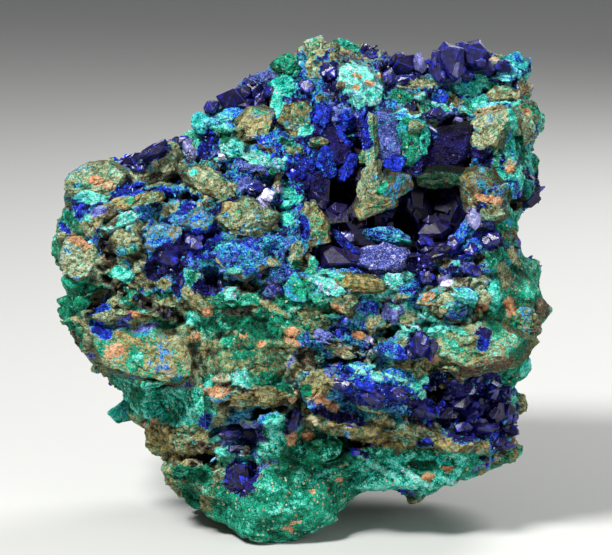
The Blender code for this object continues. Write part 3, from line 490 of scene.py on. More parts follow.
        (39.5, 33, 1, 0.9), (18.5, 82.5, 0.8, 1), (19, 8.3, 2, 0.5),
    ],
    "slate": [
        (-35, 58.3, 1.6, 0.9), (4.5, 66, 0.7, 1.3), (6.8, 67, 0.6, 1.1), (5.2, 64, 0.6, 1), (14, 50.3, 4.2, 2.3),
        (15.5, 41, 1.8, 2), (4, 37, 2, 0.9), (-26.5, 38.5, 2.5, 0.6), (-8.5, 21.2, 2.2, 0.7), (38.5, 53.5, 1.3, 1),
    ],
    # Dark holes and cracks: a real dent, darkened with painted shade and some brown and indigo.
    "void": [
        (-24.3, 60.5, 1.2, 1.2), (-33.5, 52.3, 1.8, 1.3, -20), (-28.5, 50.4, 1.6, 0.8), (-30, 44.9, 5, 0.8),
        (-26, 42.3, 6.4, 1.1), (-7, 77.5, 1.5, 1.8), (-15.5, 67.3, 1.2, 0.8), (-14, 65.6, 1.1, 0.7),
        (-5, 64.3, 3.2, 0.9, -5), (8, 64.5, 2.6, 3.3), (11, 66, 0.9, 1.2), (19.3, 75.6, 1.6, 1.1),
        (26.3, 73.7, 2.6, 1.1), (-9.3, 47, 1.3, 0.8), (-6.5, 47.5, 0.8, 1.7), (-10, 41, 2.8, 0.6), (8, 35.3, 4, 0.6),
        (14, 36.6, 3, 0.6, 25), (8, 32.4, 6, 0.4), (24, 57, 4, 4.2), (23.2, 47, 1, 1.2), (27.3, 46.8, 0.9, 0.9),
        (37.7, 60.3, 1.9, 1.6), (-40, 35.5, 1.6, 2), (-23.5, 28.2, 3.5, 0.5, 8), (-17, 15.2, 2.5, 0.7),
        (-9.3, 17, 1.3, 1.1), (-6, 23.7, 2.3, 0.8, 20), (23.5, 26.3, 1.8, 1.4), (-12.5, 40.8, 1.4, 0.5),
        (24, 45.9, 3, 0.35), (24, 40.2, 4, 0.3), (-20.5, 61, 1.3, 0.7), (-36.5, 41.9, 2.2, 0.5, 15),
        (10.5, 17.6, 2.4, 0.5, -5), (20, 21.8, 2.4, 0.5, -20), (-3.2, 24, 1.2, 0.7), (12.2, 33.3, 1, 1),
        (31, 50.2, 0.7, 1),
    ],
    "salmon": [
        (-35.7, 63.8, 1.3, 0.9), (-38.5, 53.2, 2, 0.9, -30), (-28.5, 40.5, 1.2, 0.5), (-16, 41, 1, 0.7),
        (9.8, 82.3, 0.9, 0.4), (13.8, 82.5, 0.7, 0.6), (12, 80.9, 1, 0.5), (9.7, 80.1, 0.6, 0.5), (6.3, 41.5, 1, 0.6),
        (10, 37.2, 1.4, 1), (-1.5, 37.5, 1.1, 0.9), (-1.3, 35.7, 1.6, 0.6, -20), (-17.7, 37, 0.9, 0.6),
        (-10, 37, 0.8, 0.5), (-6.7, 35.5, 0.8, 0.5), (-32, 34.3, 1.8, 1.1, 20), (-32, 30.5, 0.7, 0.6),
        (-28.7, 30.2, 0.8, 0.6), (-26.5, 21, 1.5, 0.4), (-14.5, 27.2, 2.4, 0.9, 8), (-1.5, 18.7, 1.2, 0.9, 40),
        (3.5, 26, 1.3, 0.8, -30), (5.5, 24.8, 1.2, 0.9), (1, 19, 1.2, 0.8), (22.7, 12.1, 1, 0.6),
        (26, 13.2, 0.8, 0.5), (-2.5, 2.9, 0.9, 0.6), (-1, 4.2, 0.7, 0.5), (2, 9.7, 0.6, 0.5), (-2, 9.2, 0.5, 0.4),
        (6.5, 11.5, 0.7, 0.5), (32.5, 60.3, 2.3, 0.6), (31.3, 41.7, 0.9, 0.6), (36.3, 42, 0.9, 1.7, 20),
        (22, 43.7, 1, 0.6), (22.8, 32.7, 1.1, 0.7), (39.8, 76.2, 0.8, 0.6), (36.3, 65.5, 0.8, 1),
    ],
    "pink": [
        (-33.5, 63, 1.2, 1), (34.5, 86, 1.2, 1), (40, 81, 2, 1), (33, 76.2, 3, 0.7, 10), (22.5, 42, 1.4, 0.6),
        (-13.5, 29.7, 2, 0.7), (-2, 27, 2, 1.2), (2.2, 22.3, 1.2, 0.7), (7.6, 34.6, 2, 0.6), (38, 79.6, 1, 0.5),
    ],
    "mixedBlue": [
        (-9, 51.9, 4.5, 1.5), (-10.2, 49.8, 4.8, 3.2, -8), (-20.5, 56.8, 2.2, 1.6, 20), (-14.6, 52.6, 2.4, 1.8, 30),
        (-4.2, 52.8, 2.6, 1.7, -10), (-3.0, 47.8, 2.4, 1.6, 12), (9.8, 36.4, 2.4, 1.5), (-27.0, 58.2, 1.9, 1.4, 20),
        (36.8, 62.0, 1.4, 1.6), (18.5, 44.8, 2.2, 1.2), (15.8, 34.2, 2.4, 1.5, -14), (11.4, 42.2, 2.2, 1.4, -14),
        (27.0, 40.6, 2.4, 1.3),
    ],
    "blueGreen": [
        (24.4, 78.6, 2.2, 1.4), (7.2, 71.0, 2.0, 1.6, 12), (-6.0, 71.0, 2.0, 1.6), (30.2, 52.4, 2.0, 1.4),
        (10.2, 31.0, 2.4, 1.3, -12), (16.6, 30.0, 2.4, 1.3, -12),
    ],
    # Pale lilac spots: painted sheen and glints of light on azurite faces.
    "lilac": [
        (-26, 61.2, 0.4, 0.4), (-19.8, 69.5, 0.8, 1.7, 20), (-13.7, 67.8, 0.8, 0.6), (-6, 60.5, 1, 1.4),
        (-4, 62, 0.7, 0.6), (-8, 63, 0.7, 0.5), (7.3, 86.5, 0.5, 0.4), (24.5, 72.2, 1, 0.4), (26.2, 82, 1.3, 0.6),
        (21.3, 85, 0.7, 1.4, 10), (24.7, 46.3, 1.5, 0.9), (29.8, 57.3, 0.8, 1.9), (40.2, 60.5, 0.6, 1),
        (19.3, 34.5, 0.3, 1, 15), (22.8, 34.8, 0.3, 1, -15), (11.8, 36.5, 0.8, 0.9), (12.5, 34.3, 0.6, 0.5),
        (29.7, 27.2, 0.5, 1.1, 20), (27.2, 22.5, 0.7, 0.6), (38.3, 20, 1.2, 0.9), (34, 27.5, 1.2, 1.1),
        (14, 51.2, 2.6, 0.7),
    ],
}
patches = {mineral: [(*patch, 0)[:5] for patch in group] for mineral, group in patches.items()}


def ownTurn(x, h, turn):
    # a patch with no turn of its own gets a seeded one, up to 32 degrees either way
    return turn or 64 * (latticeRandom(np.array([[x * 10, h * 10, 1]]), 3)[0] - 0.5)


def inOval(places, x, h, halfWidth, halfHeight, turn):
    # how far across a turned patch each place lies, along its width and its height: 1 is at its rim
    c, s = math.cos(math.radians(turn)), math.sin(math.radians(turn))
    dx, dh = places[:, 0] - x, places[:, 1] - h
    return (dx * c + dh * s) / halfWidth, (dh * c - dx * s) / halfHeight


patchShape = {"power": 2.6, "ragged": 0.22, "raggedAround": 0.34, "margin": 0.8, "slack": 2.5}


def ovalReach(u, v, halfWidth, halfHeight, ragged, warp):
    # how far out each place lies on an oval with full corners and a ragged rim
    power = patchShape["power"]
    return (abs(u) ** power + abs(v) ** power) ** (1 / power) + min(ragged, 0.45 / min(halfWidth, halfHeight)) * warp


def patchCover(places, patch, warp, depth):
    # the points near a patch, and how far across it each lies: out is 1 at its rim
    x, h, halfWidth, halfHeight, turn = patch
    reach = 1.4 * max(halfWidth, halfHeight) + patchShape["margin"]
    near = np.nonzero((abs(places[:, 0] - x) < reach) & (abs(places[:, 1] - h) < reach)
                      & (abs(places[:, 2] - depth) < patchShape["slack"] + max(halfWidth, halfHeight)))[0]
    u, v = inOval(places[near], x, h, halfWidth, halfHeight, ownTurn(x, h, turn))
    return near, u, v, ovalReach(u, v, halfWidth, halfHeight, patchShape["ragged"], warp[near])


def roundPatches(skin, wanted):
    # patches for the sides, top and back, with a mineral picked by broad seeded fields
    rng = np.random.default_rng(wanted["seed"])
    away = np.nonzero((skin.normal @ np.array(intoRock) > -0.25) & (skin.co[:, 2] > 1.5))[0]
    centres = rng.choice(away, wanted["patches"], replace=False)
    out = skin.averaged(skin.normal, 12)[centres]
    out /= np.linalg.norm(out, axis=1)[:, None]
    blue = fractalNoise(skin.co[centres], 24, 71)
    green = fractalNoise(skin.co[centres], 28, 72) + 0.1
    rest = fractalNoise(skin.co[centres], 26, 73) + 0.15
    chosen = []
    for k, centre in enumerate(centres):
        fields = (blue[k], green[k], rest[k])
        group = int(np.argmax(fields)) if rng.random() < 0.72 else int(rng.integers(3))
        mineral = rng.choice(wanted["groups"][group])
        size = rng.uniform(*wanted["halfWidths"]) * (0.5 if mineral in ("void", "salmon", "brown") else 1)
        chosen.append({"mineral": mineral, "place": skin.co[centre], "normal": out[k], "halfWidth": size,
                       "halfHeight": size * rng.uniform(0.28, 0.8), "turn": rng.uniform(-22, 22)})
    return chosen


def axesOf(patch):
    # a round patch's own directions: along its width, along its height and out of the rock
    out = Vector(patch["normal"])
    across = Vector((0, 0, 1)).cross(out) if abs(out.z) < 0.95 else Vector((1, 0, 0))
    across = Matrix.Rotation(math.radians(patch["turn"]), 3, out) @ across.normalized()
    return np.array([across, out.cross(across), out])


def roundCover(skin, patch, warp):
    a, b = patch["halfWidth"], patch["halfHeight"]
    gap = skin.co + skin.wander - patch["place"]
    near = np.nonzero((gap ** 2).sum(1) < (1.5 * max(a, b) + patchShape["margin"]) ** 2)[0]
    u, v, _ = axesOf(patch) @ gap[near].T
    u, v = u / a, v / b
    return near, u, v, ovalReach(u, v, a, b, patchShape["raggedAround"], warp[near])


def frontDepths(skin, patchList):
    # how deep the rock's face lies behind each patch
    tree = surfaceTree(skin.co, skin.mesh)
    depths = []
    for x, h in patchList:
        start = onFace(x, h, -60) / mm
        hit = tree.ray_cast(start, intoRock)[0]
        depths.append(hit.dot(intoRock) if hit else -8.0)
    return depths


def isBlock(mineral, halfWidth, halfHeight):
    # which patches stand out as a stone of their own
    return (mineral in blockLook["kinds"] and min(halfWidth, halfHeight) >= blockLook["thinnest"]
            and blockLook["smallest"] <= math.sqrt(halfWidth * halfHeight) <= blockLook["largest"])


recipes = {name: np.array([mix.get(p, 0.0) for p in parts]) for name, mix in minerals.items()}
column = {p: k for k, p in enumerate(parts)}


def addStain(shares, part, amount, rows=slice(None)):
    shares[rows, column[part]] = np.clip(shares[rows, column[part]] + amount, 0, 1)


def layOut(skin, depths, around, ground=None):
    # the minerals' shares and the relief that goes with them, for every point of the rock; where a ground is
    # given, the points belong to stones of that mineral, and only what is finer than a stone is laid on them
    places = faceFrame(skin.co)
    facing = facingShare(skin.averaged(skin.normal, 3))
    warp = fractalNoise(skin.co, 1.5, 5, 3, 0.7)
    broadWarp = fractalNoise(skin.co, 7, 6, 3, 0.6)
    if ground is None:
        places[:, 0] += 0.5 * fractalNoise(skin.co, 4.2, 7, 2)
        places[:, 1] += 0.5 * fractalNoise(skin.co, 4.2, 8, 2)
        skin.wander = 1.7 * np.stack([fractalNoise(skin.co, 5.5, 14 + k, 3, 0.7) for k in range(3)], axis=1)
    shares = np.zeros((len(skin.co), len(parts))) if ground is None else ground.copy()
    relief = np.zeros(len(skin.co))
    underStone = np.zeros(len(skin.co))

    def lay(near, u, v, out, within, mineral, halfWidth, halfHeight, number):
        block = isBlock(mineral, halfWidth, halfHeight)
        if block and ground is not None:
            return
        cover = smoothStep(1.14, 0.88, out) * within
        shares[near] += cover[:, None] * (recipes[mineral] - shares[near])
        if block:
            # painted shade: a thin dark ring in the rock round each stone, where it meets the rock
            gap = smoothStep(0.86, 1.0, out) * smoothStep(1.5, 1.08, out) * within * smoothStep(-0.5, 0.3, warp[near])
            addStain(shares, "shade", 0.55 * gap, near)
            high = smoothStep(40, 52, places[near, 1]) * smoothStep(-0.3, 0.2, broadWarp[near])
            for part, share in (("azurite", 0.75), ("indigo", 0.5), ("turquoise", 0.2)):
                addStain(shares, part, share * gap * high, near)
            underStone[near] = np.maximum(underStone[near], smoothStep(1.0, 0.85, out) * within)
            return
        size = math.sqrt(halfWidth * halfHeight)
        slant = latticeRandom(np.array([[number, 1, 2], [number, 3, 4]]), 9) - 0.5
        lift = proud[mineral] * min(1.0, size / 2.2 + 0.25)
        relief[near] += cover * (lift * (1 + 0.5 * (slant[0] * u + slant[1] * v)))

    for mineral, x, h, a, b, turn, share in grounds if ground is None else ():
        u, v = inOval(places, x, h, a, b, turn)
        out = np.sqrt(u ** 2 + v ** 2) + 0.35 * broadWarp
        cover = smoothStep(1.2, 0.75, out) * facing * share
        shares += cover[:, None] * (recipes[mineral] - shares)
    for mineral, size, seed, low, high in aroundGrounds if ground is None else ():
        field = fractalNoise(skin.co * np.array([1, 1, 1.7]), size, seed, 3, 0.6)
        cover = smoothStep(low, high, field) * (1 - facing)
        shares += cover[:, None] * (recipes[mineral] - shares)
    for k, patch in enumerate(around):
        near, u, v, out = roundCover(skin, patch, warp)
        lay(near, u, v, out, 1 - facing[near], patch["mineral"], patch["halfWidth"], patch["halfHeight"], 1000 + k)
    number = 0
    for mineral, group in patches.items():
        for patch in group:
            near, u, v, out = patchCover(places, patch, warp, depths[number])
            lay(near, u, v, out, facing[near], mineral, patch[2], patch[3], number)
            number += 1
    return shares, relief, underStone


# Smoother stretches of the display face: x, h, half width, half height, turn, how calm.
calmPlaces = [
    (-27, 33.5, 11, 6, -8, 0.8), (-8, 33, 8, 6, 0, 0.6), (-3, 7, 15, 8.5, 0, 0.9), (20, 12.5, 14, 5, 8, 0.8),
    (-23, 25, 9, 4, -6, 0.6), (40.0, 41, 6.5, 13, 0, 0.85), (13, 27, 9, 3.6, -16, 0.55), (-18, 28, 3, 7, 8, 0.5),
    (-36.5, 63, 6, 5, 0, 0.4), (-25, 66, 5, 3, 12, 0.4), (-38, 49.5, 4, 4, 0, 0.5), (10.5, 80.7, 5, 4.4, 0, 0.5),
    (32, 60, 6, 6, 0, 0.3), (-23, 17, 7, 5, 0, 0.3), (10, 21, 12, 2.5, -8, 0.4),
]


def calmness(points, facing):
    # 0 where the rock is broken, towards 1 where it is smooth
    places = faceFrame(points)
    calm = np.zeros(len(points))
    for x, h, a, b, turn, share in calmPlaces:
        u, v = inOval(places, x, h, a, b, turn)
        calm = np.maximum(calm, share * smoothStep(1.25, 0.8, np.sqrt(u ** 2 + v ** 2)))
    elsewhere = np.maximum(0.75 * smoothStep(-0.2, 0.5, fractalNoise(points, 13, 52, 2)),
                           0.9 * smoothStep(24, 15, points[:, 2]))
    return calm * facing + elsewhere * (1 - facing)


# Stones that fill part of the cracks, and the block that parts the hollow in two:
# x, h, mm behind the bare face, half width, half height, half depth, turn.
infill = [
    (-29.5, 43.4, 1.8, 4.4, 2.0, 2.6, 8), (-23.5, 42.0, 1.8, 3.4, 1.5, 2.4, -12),
    (-37.4, 43.0, 1.2, 3.2, 1.7, 2.2, 20), (-34.6, 52.8, 1.6, 2.8, 2.2, 2.6, -20),
    (-26.4, 49.8, 2.2, 2.6, 1.0, 2.0, 8), (-12.4, 47.0, 2.4, 2.6, 1.3, 2.0, -15),
    (-17.5, 46.4, 2.4, 2.4, 1.2, 2.0, 12), (3.4, 32.4, 2.4, 2.8, 1.0, 2.2, 5), (11.5, 31.6, 2.2, 2.6, 0.9, 2.2, -8),
    (14.5, 36.6, 2.2, 2.4, 0.9, 2.0, 10), (25.5, 31.2, 2.4, 3.0, 1.1, 2.2, -6), (31.0, 31.8, 2.2, 2.2, 1.0, 2.0, 6),
    (2.2, 16.6, 4.2, 6.4, 3.2, 2.6, 8), (-19.6, 13.8, 1.2, 4.2, 2.0, 2.4, 0), (-26.8, 43.6, 1.4, 2.8, 1.6, 2.4, 0),
    (-13.8, 67.0, 2.2, 2.0, 1.1, 2.0, -12), (-25.5, 28.6, 2.0, 2.6, 0.8, 1.8, 6), (5.0, 40.0, 2.0, 4.0, 0.8, 1.8, 4),
    (-9.6, 16.6, 2.4, 1.3, 1.0, 1.8, 30), (22.5, 28.0, 2.8, 1.4, 1.0, 2.0, -30), (11.0, 33.5, 2.2, 3.0, 1.0, 2.0, -8),
    (16.8, 36.3, 2.2, 2.6, 1.0, 2.0, 18), (-5.6, 22.4, 2.0, 3.0, 1.2, 2.2, 14), (-5.0, 65.0, 1.8, 3.2, 1.2, 2.2, -5),
    (-23.4, 40.6, 1.8, 3.4, 1.2, 2.2, -16), (13.0, 63.2, 3.6, 1.6, 4.6, 2.8, -12),
    (16.8, 66.8, 3.6, 3.4, 3.0, 3.0, 0), (24.6, 65.2, 6.0, 4.6, 2.0, 3.6, 6),
]


def withStones(mesh, stones):
    # the mesh with angular stones set into it; the remesh that follows makes them one with it
    bm = bmesh.new()
    bm.from_mesh(mesh)
    tree = BVHTree.FromBMesh(bm)
    for k, (x, h, behind, halfWidth, halfHeight, halfDepth, turn) in enumerate(stones):
        beside = [tree.ray_cast(onFace(x + dx, h + dh, -60), intoRock)[0] for dx in (-6, 0, 6) for dh in (-4, 4)]
        front = min((spot.dot(intoRock) / mm for spot in beside if spot), default=-20.0)
        rng = np.random.default_rng(300 + k)
        own = bmesh.new()
        for _ in range(16):
            p = rng.normal(size=3)
            own.verts.new(p / np.linalg.norm(p) * rng.uniform(0.85, 1.0))
        hullOf(own)
        bmesh.ops.recalc_face_normals(own, faces=own.faces)
        c, s = math.cos(math.radians(turn)), math.sin(math.radians(turn))
        for v in own.verts:
            across, along = v.co.x * halfWidth, v.co.y * halfHeight
            v.co = onFace(x + across * c - along * s, h + across * s + along * c, front + behind + v.co.z * halfDepth)
        # the last direction runs into the rock, which mirrors the stone
        bmesh.ops.reverse_faces(own, faces=own.faces)
        bmesh.ops.recalc_face_normals(own, faces=own.faces)
        pourInto(bm, own)
    return meshOf(bm, "rock with stones")


# Stones that stand out of the rock, one for each patch of these kinds that is large enough; sizes in mm.
blockLook = {
    "kinds": ("tan", "pale", "olive", "ochre", "ice", "greenTan", "slate", "pink", "turquoise", "violet", "green",
              "mixedBlue", "blueGreen", "moss", "rust", "aqua"),
    "smallest": 1.25, "thinnest": 0.75, "largest": 6.6, "stand": 0.3, "highest": 1.0, "chip": 0.4, "chipSize": 1.5,
    "layer": 0.65, "layerStep": 0.26, "grain": 0.1, "wear": 40, "above": 15,
    "sides": {"smallest": 2.0, "largest": 3.6, "share": 0.75, "stand": 0.6, "turnedAway": 0.42},
}


rockLook = {
    "rubble": {"spacing": 4.2, "smallest": 0.6, "largest": 1.7, "lean": 0.5, "sink": -0.3, "seed": 3},
    "voxel": 0.42, "triangles": 194000, "warp": {"amount": 0.9, "size": 3, "seed": 90},
    "blocks": [{"size": 6.4, "relief": 0.9, "joint": 0.5, "seed": 21},
               {"size": 2.7, "relief": 0.5, "joint": 0.36, "seed": 22},
               {"size": 1.25, "relief": 0.24, "joint": 0.2, "seed": 23}],
    "flatness": 1.35, "greenCalm": 0.35, "layers": {"relief": 0.12, "reach": 0.22, "size": 1.9, "seed": 33},
    "grain": {"relief": 0.1, "size": 1.1, "seed": 35},
    "around": {
        "patches": 560, "halfWidths": (1.0, 5.6), "seed": 12,
        "groups": [["azure", "indigo", "violet", "mixedBlue", "azure", "void", "blueGreen", "turquoise"],
                   ["green", "green", "deep", "turquoise", "ice", "greenTan", "void", "brown", "green"],
                   ["tan", "pale", "pale", "olive", "ochre", "brown", "void", "salmon", "greenTan", "pink"]],
    },
}


def chunk(name, seed, points, stretch):
    # an angular stone chip about 2 mm across
    rng = np.random.default_rng(seed)
    bm = bmesh.new()
    for _ in range(points):
        p = rng.normal(size=3)
        p = p / np.linalg.norm(p) * rng.uniform(0.75, 1.0) * np.array(stretch)
        bm.verts.new(p * mm)
    hullOf(bm)
    bmesh.ops.recalc_face_normals(bm, faces=bm.faces)
    return meshOf(bm, name)


def crystalMesh(name, seed, sides, width, thickness, length, wedge):
    # a prism with a wedge-shaped end; "tip" runs from 0 at the root to 1 at the end
    rng = np.random.default_rng(seed)
    bm = bmesh.new()
    rings = []
    for level, taper in ((-0.25, 0.9), (1 - wedge, 1.0)):
        ring = []
        for k in range(sides):
            a = 2 * math.pi * (k + 0.5) / sides
            lift = rng.uniform(-0.06, 0.06) * length if level > 0 else 0
            ring.append(bm.verts.new((width / 2 * math.cos(a) * taper * mm, thickness / 2 * math.sin(a) * taper * mm,
                                      (level * length + lift) * mm)))
        rings.append(ring)
    ridge = rng.uniform(0.25, 0.5) * width
    skew = rng.uniform(-0.2, 0.2) * thickness
    top = [bm.verts.new((side * ridge / 2 * mm, skew * mm, length * (1 - 0.05 * (side < 0)) * mm)) for side in (1, -1)]
    bmesh.ops.convex_hull(bm, input=rings[0] + rings[1] + top)
    bmesh.ops.recalc_face_normals(bm, faces=bm.faces)
    bmesh.ops.dissolve_limit(bm, angle_limit=0.02, verts=bm.verts, edges=bm.edges)
    mesh = meshOf(bm, name)
    tip = mesh.attributes.new("tip", "FLOAT", "POINT")
    tip.data.foreach_set("value", [min(1.0, max(0.0, v.co.z / mm / length)) for v in mesh.vertices])
    return mesh


def variantSet(name, meshes):
    made = bpy.data.collections.new(name)
    for mesh in meshes:
        made.objects.link(bpy.data.objects.new(mesh.name, mesh))
    return made


def scatterTree(name, where):
    # strews copies of a set of small shapes over a surface, thickest where an attribute is high
    tree = bpy.data.node_groups.new(name, "GeometryNodeTree")
    for socket, kind in (("Surface", "Geometry"), ("Variants", "Collection"), ("Spacing", "Float"),
                         ("Smallest", "Float"), ("Largest", "Float"), ("Lean", "Float"), ("Sink", "Float"),
                         ("Seed", "Int"), ("Keep surface", "Bool"), ("Material", "Material")):
        tree.interface.new_socket(socket, in_out="INPUT", socket_type="NodeSocket" + kind)
    tree.interface.new_socket("Result", in_out="OUTPUT", socket_type="NodeSocketGeometry")
    add = partial(addNode, tree)
    given = add("NodeGroupInput").outputs
    share = add("GeometryNodeInputNamedAttribute", {"Name": where}, data_type="FLOAT")
    spots = add("GeometryNodeDistributePointsOnFaces",
                {"Mesh": given["Surface"], "Distance Min": given["Spacing"], "Density Max": 4e6,
                 "Density Factor": share, "Seed": given["Seed"]}, distribute_method="POISSON")
    tilt = add("ShaderNodeMath", (given["Lean"], -1.0), operation="MULTIPLY")
    low = add("ShaderNodeCombineXYZ", (tilt, tilt, 0.0))
    high = add("ShaderNodeCombineXYZ", (given["Lean"], given["Lean"], 6.283))
    turn = add("FunctionNodeRandomValue", {0: low, 1: high, "Seed": given["Seed"]}, data_type="FLOAT_VECTOR")
    rotation = add("FunctionNodeRotateRotation", {"Rotation": spots.outputs["Rotation"], "Rotate By": turn},
                   rotation_space="LOCAL")
    size = add("FunctionNodeRandomValue", {2: given["Smallest"], 3: given["Largest"], "Seed": given["Seed"]},
               data_type="FLOAT")
    shape = add("FunctionNodeRandomValue", {0: (0.7, 0.7, 0.7), 1: (1.2, 1.2, 1.25), "Seed": 77},
                data_type="FLOAT_VECTOR")
    scale = add("ShaderNodeVectorMath", {0: shape, "Scale": size}, operation="SCALE")
    outward = add("ShaderNodeVectorMath", {0: spots.outputs["Normal"], "Scale": given["Sink"]}, operation="SCALE")
    seated = add("GeometryNodeSetPosition", {"Geometry": spots, "Offset": outward})
    shapes = add("GeometryNodeCollectionInfo",
                 {"Collection": given["Variants"], "Separate Children": True, "Reset Children": True})
    placed = add("GeometryNodeInstanceOnPoints", {"Points": seated, "Instance": shapes, "Pick Instance": True,
                                                  "Rotation": rotation, "Scale": scale})
    tone = add("FunctionNodeRandomValue", {2: -1.0, 3: 1.0, "Seed": 5}, data_type="FLOAT")
    toned = add("GeometryNodeStoreNamedAttribute", {"Geometry": placed, "Name": "tone", "Value": tone},
                data_type="FLOAT", domain="INSTANCE")
    real = add("GeometryNodeRealizeInstances", {"Geometry": toned})
    both = add("GeometryNodeJoinGeometry")
    for part in (given["Surface"], real.outputs[0]):
        tree.links.new(part, both.inputs[0])
    either = add("GeometryNodeSwitch", {"Switch": given["Keep surface"], "False": real, "True": both},
                 input_type="GEOMETRY")
    finish = add("GeometryNodeSetMaterial", {"Geometry": either, "Material": given["Material"]})
    add("NodeGroupOutput", (finish,))
    return tree


def scatterOn(surface, where, values):
    # adds the scatter as a modifier, with its inputs set before it is first evaluated; sizes are in mm
    tree = scatterTree("scatter by " + where, where)
    modifier = surface.modifiers.new("Scatter", "NODES")
    modifier.node_group = tree
    known = {s.name: s.identifier for s in tree.interface.items_tree if s.in_out == "INPUT"}
    for name, value in values.items():
        modifier[known[name]] = value


def scatterValues(sizes, variants, material, keepSurface=False):
    return {"Variants": variants, "Spacing": sizes["spacing"] * mm, "Smallest": sizes["smallest"],
            "Largest": sizes["largest"], "Lean": sizes["lean"], "Sink": sizes["sink"] * mm, "Seed": sizes["seed"],
            "Keep surface": keepSurface, "Material": material}


def grow(surface, name, where, values):
    # a plain mesh of small shapes grown on a surface
    carrier = addObject(name + " carrier", surface.data)
    scatterOn(carrier, where, values)
    mesh = plainMesh(carrier, name)
    bpy.data.objects.remove(carrier)
    made = addObject(name, mesh)
    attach(made, "root")
    print(name, "triangles", triangleCount(mesh))


def remeshedRock(look, material):
    # the CAD rock with stones set into it and rubble grown on it, remeshed finely
    carrier = addObject("rock carrier", withStones(mergedCopy("rock"), infill))
    bare = Skin(carrier.data)
    bare.store("rubbleShare", 1 - calmness(bare.co, facingShare(bare.normal)))
    chips = variantSet("chips", [chunk(f"chip{k}", 40 + k, 10, (1.0, 0.9, 0.5)) for k in range(8)])
    scatterOn(carrier, "rubbleShare", scatterValues(look["rubble"], chips, material, keepSurface=True))
    remesh = carrier.modifiers.new("Remesh", "REMESH")
    remesh.mode = "VOXEL"
    remesh.voxel_size = look["voxel"] * mm
    mesh = plainMesh(carrier, "rock")
    bpy.data.objects.remove(carrier)
    for layer in [a.name for a in mesh.attributes if a.name in ("rubbleShare", "tone", "tip")]:
        mesh.attributes.remove(mesh.attributes[layer])
    print("rock remeshed to", len(mesh.vertices), "points")
    return mesh


def shapeRock(skin, look, depths, around):
    # breaks the surface into blocks, joints, layers and grain
    shares, relief, _ = layOut(skin, depths, around)
    out = skin.averaged(skin.normal, 4)
    out /= np.maximum(np.linalg.norm(out, axis=1), 1e-6)[:, None]
    warp, layers, grain = look["warp"], look["layers"], look["grain"]
    ways = [fractalNoise(skin.co, warp["size"], warp["seed"] + k) for k in range(3)]
    warped = skin.co + warp["amount"] * np.stack(ways, axis=1)
    rough = 1 - calmness(skin.co, facingShare(skin.normal))
    rough = rough * (1 - look["greenCalm"] * np.clip(shares[:, column["malachite"]], 0, 1))
    for block in look["blocks"]:
        height, clear = chippedRelief(warped * np.array([1, 1, look["flatness"]]), block["size"], block["seed"])
        relief += rough * (block["relief"] * height - block["joint"] * (1 - clear) ** 2)
    level = fractalNoise(warped * np.array([layers["reach"], layers["reach"], 1.0]), layers["size"], layers["seed"], 2)
    layered = smoothStep(-0.3, 0.4, fractalNoise(skin.co, 14, 34))
    relief += layers["relief"] * np.clip(level * 1.6, -1, 1) * layered
    relief += grain["relief"] * fractalNoise(skin.co, grain["size"], grain["seed"], 2)
    # in place, so that the places of the round patches move with it
    skin.co += out * relief[:, None]
    skin.co = keptInBox(skin.co)
    skin.write()


# How hollows take painted shade and brown, ridges painted light and green ridges turquoise, and broad fields of tone:
# size in mm, seed, and from which noise level to which each comes in.
stainLook = {
    "near": (3, 0.16), "wide": (25, 1.3), "sunkShade": 0.55, "sunkBrown": 0.35, "ridgeGreen": 0.2,
    "night": (2.6, 41, 0.05, 0.5), "dawn": (2.2, 42, 0.1, 0.5), "clear": (2.4, 43, 0.1, 0.55),
    "nightShare": 0.6, "dawnShare": 0.35, "clearShare": 0.3,
}


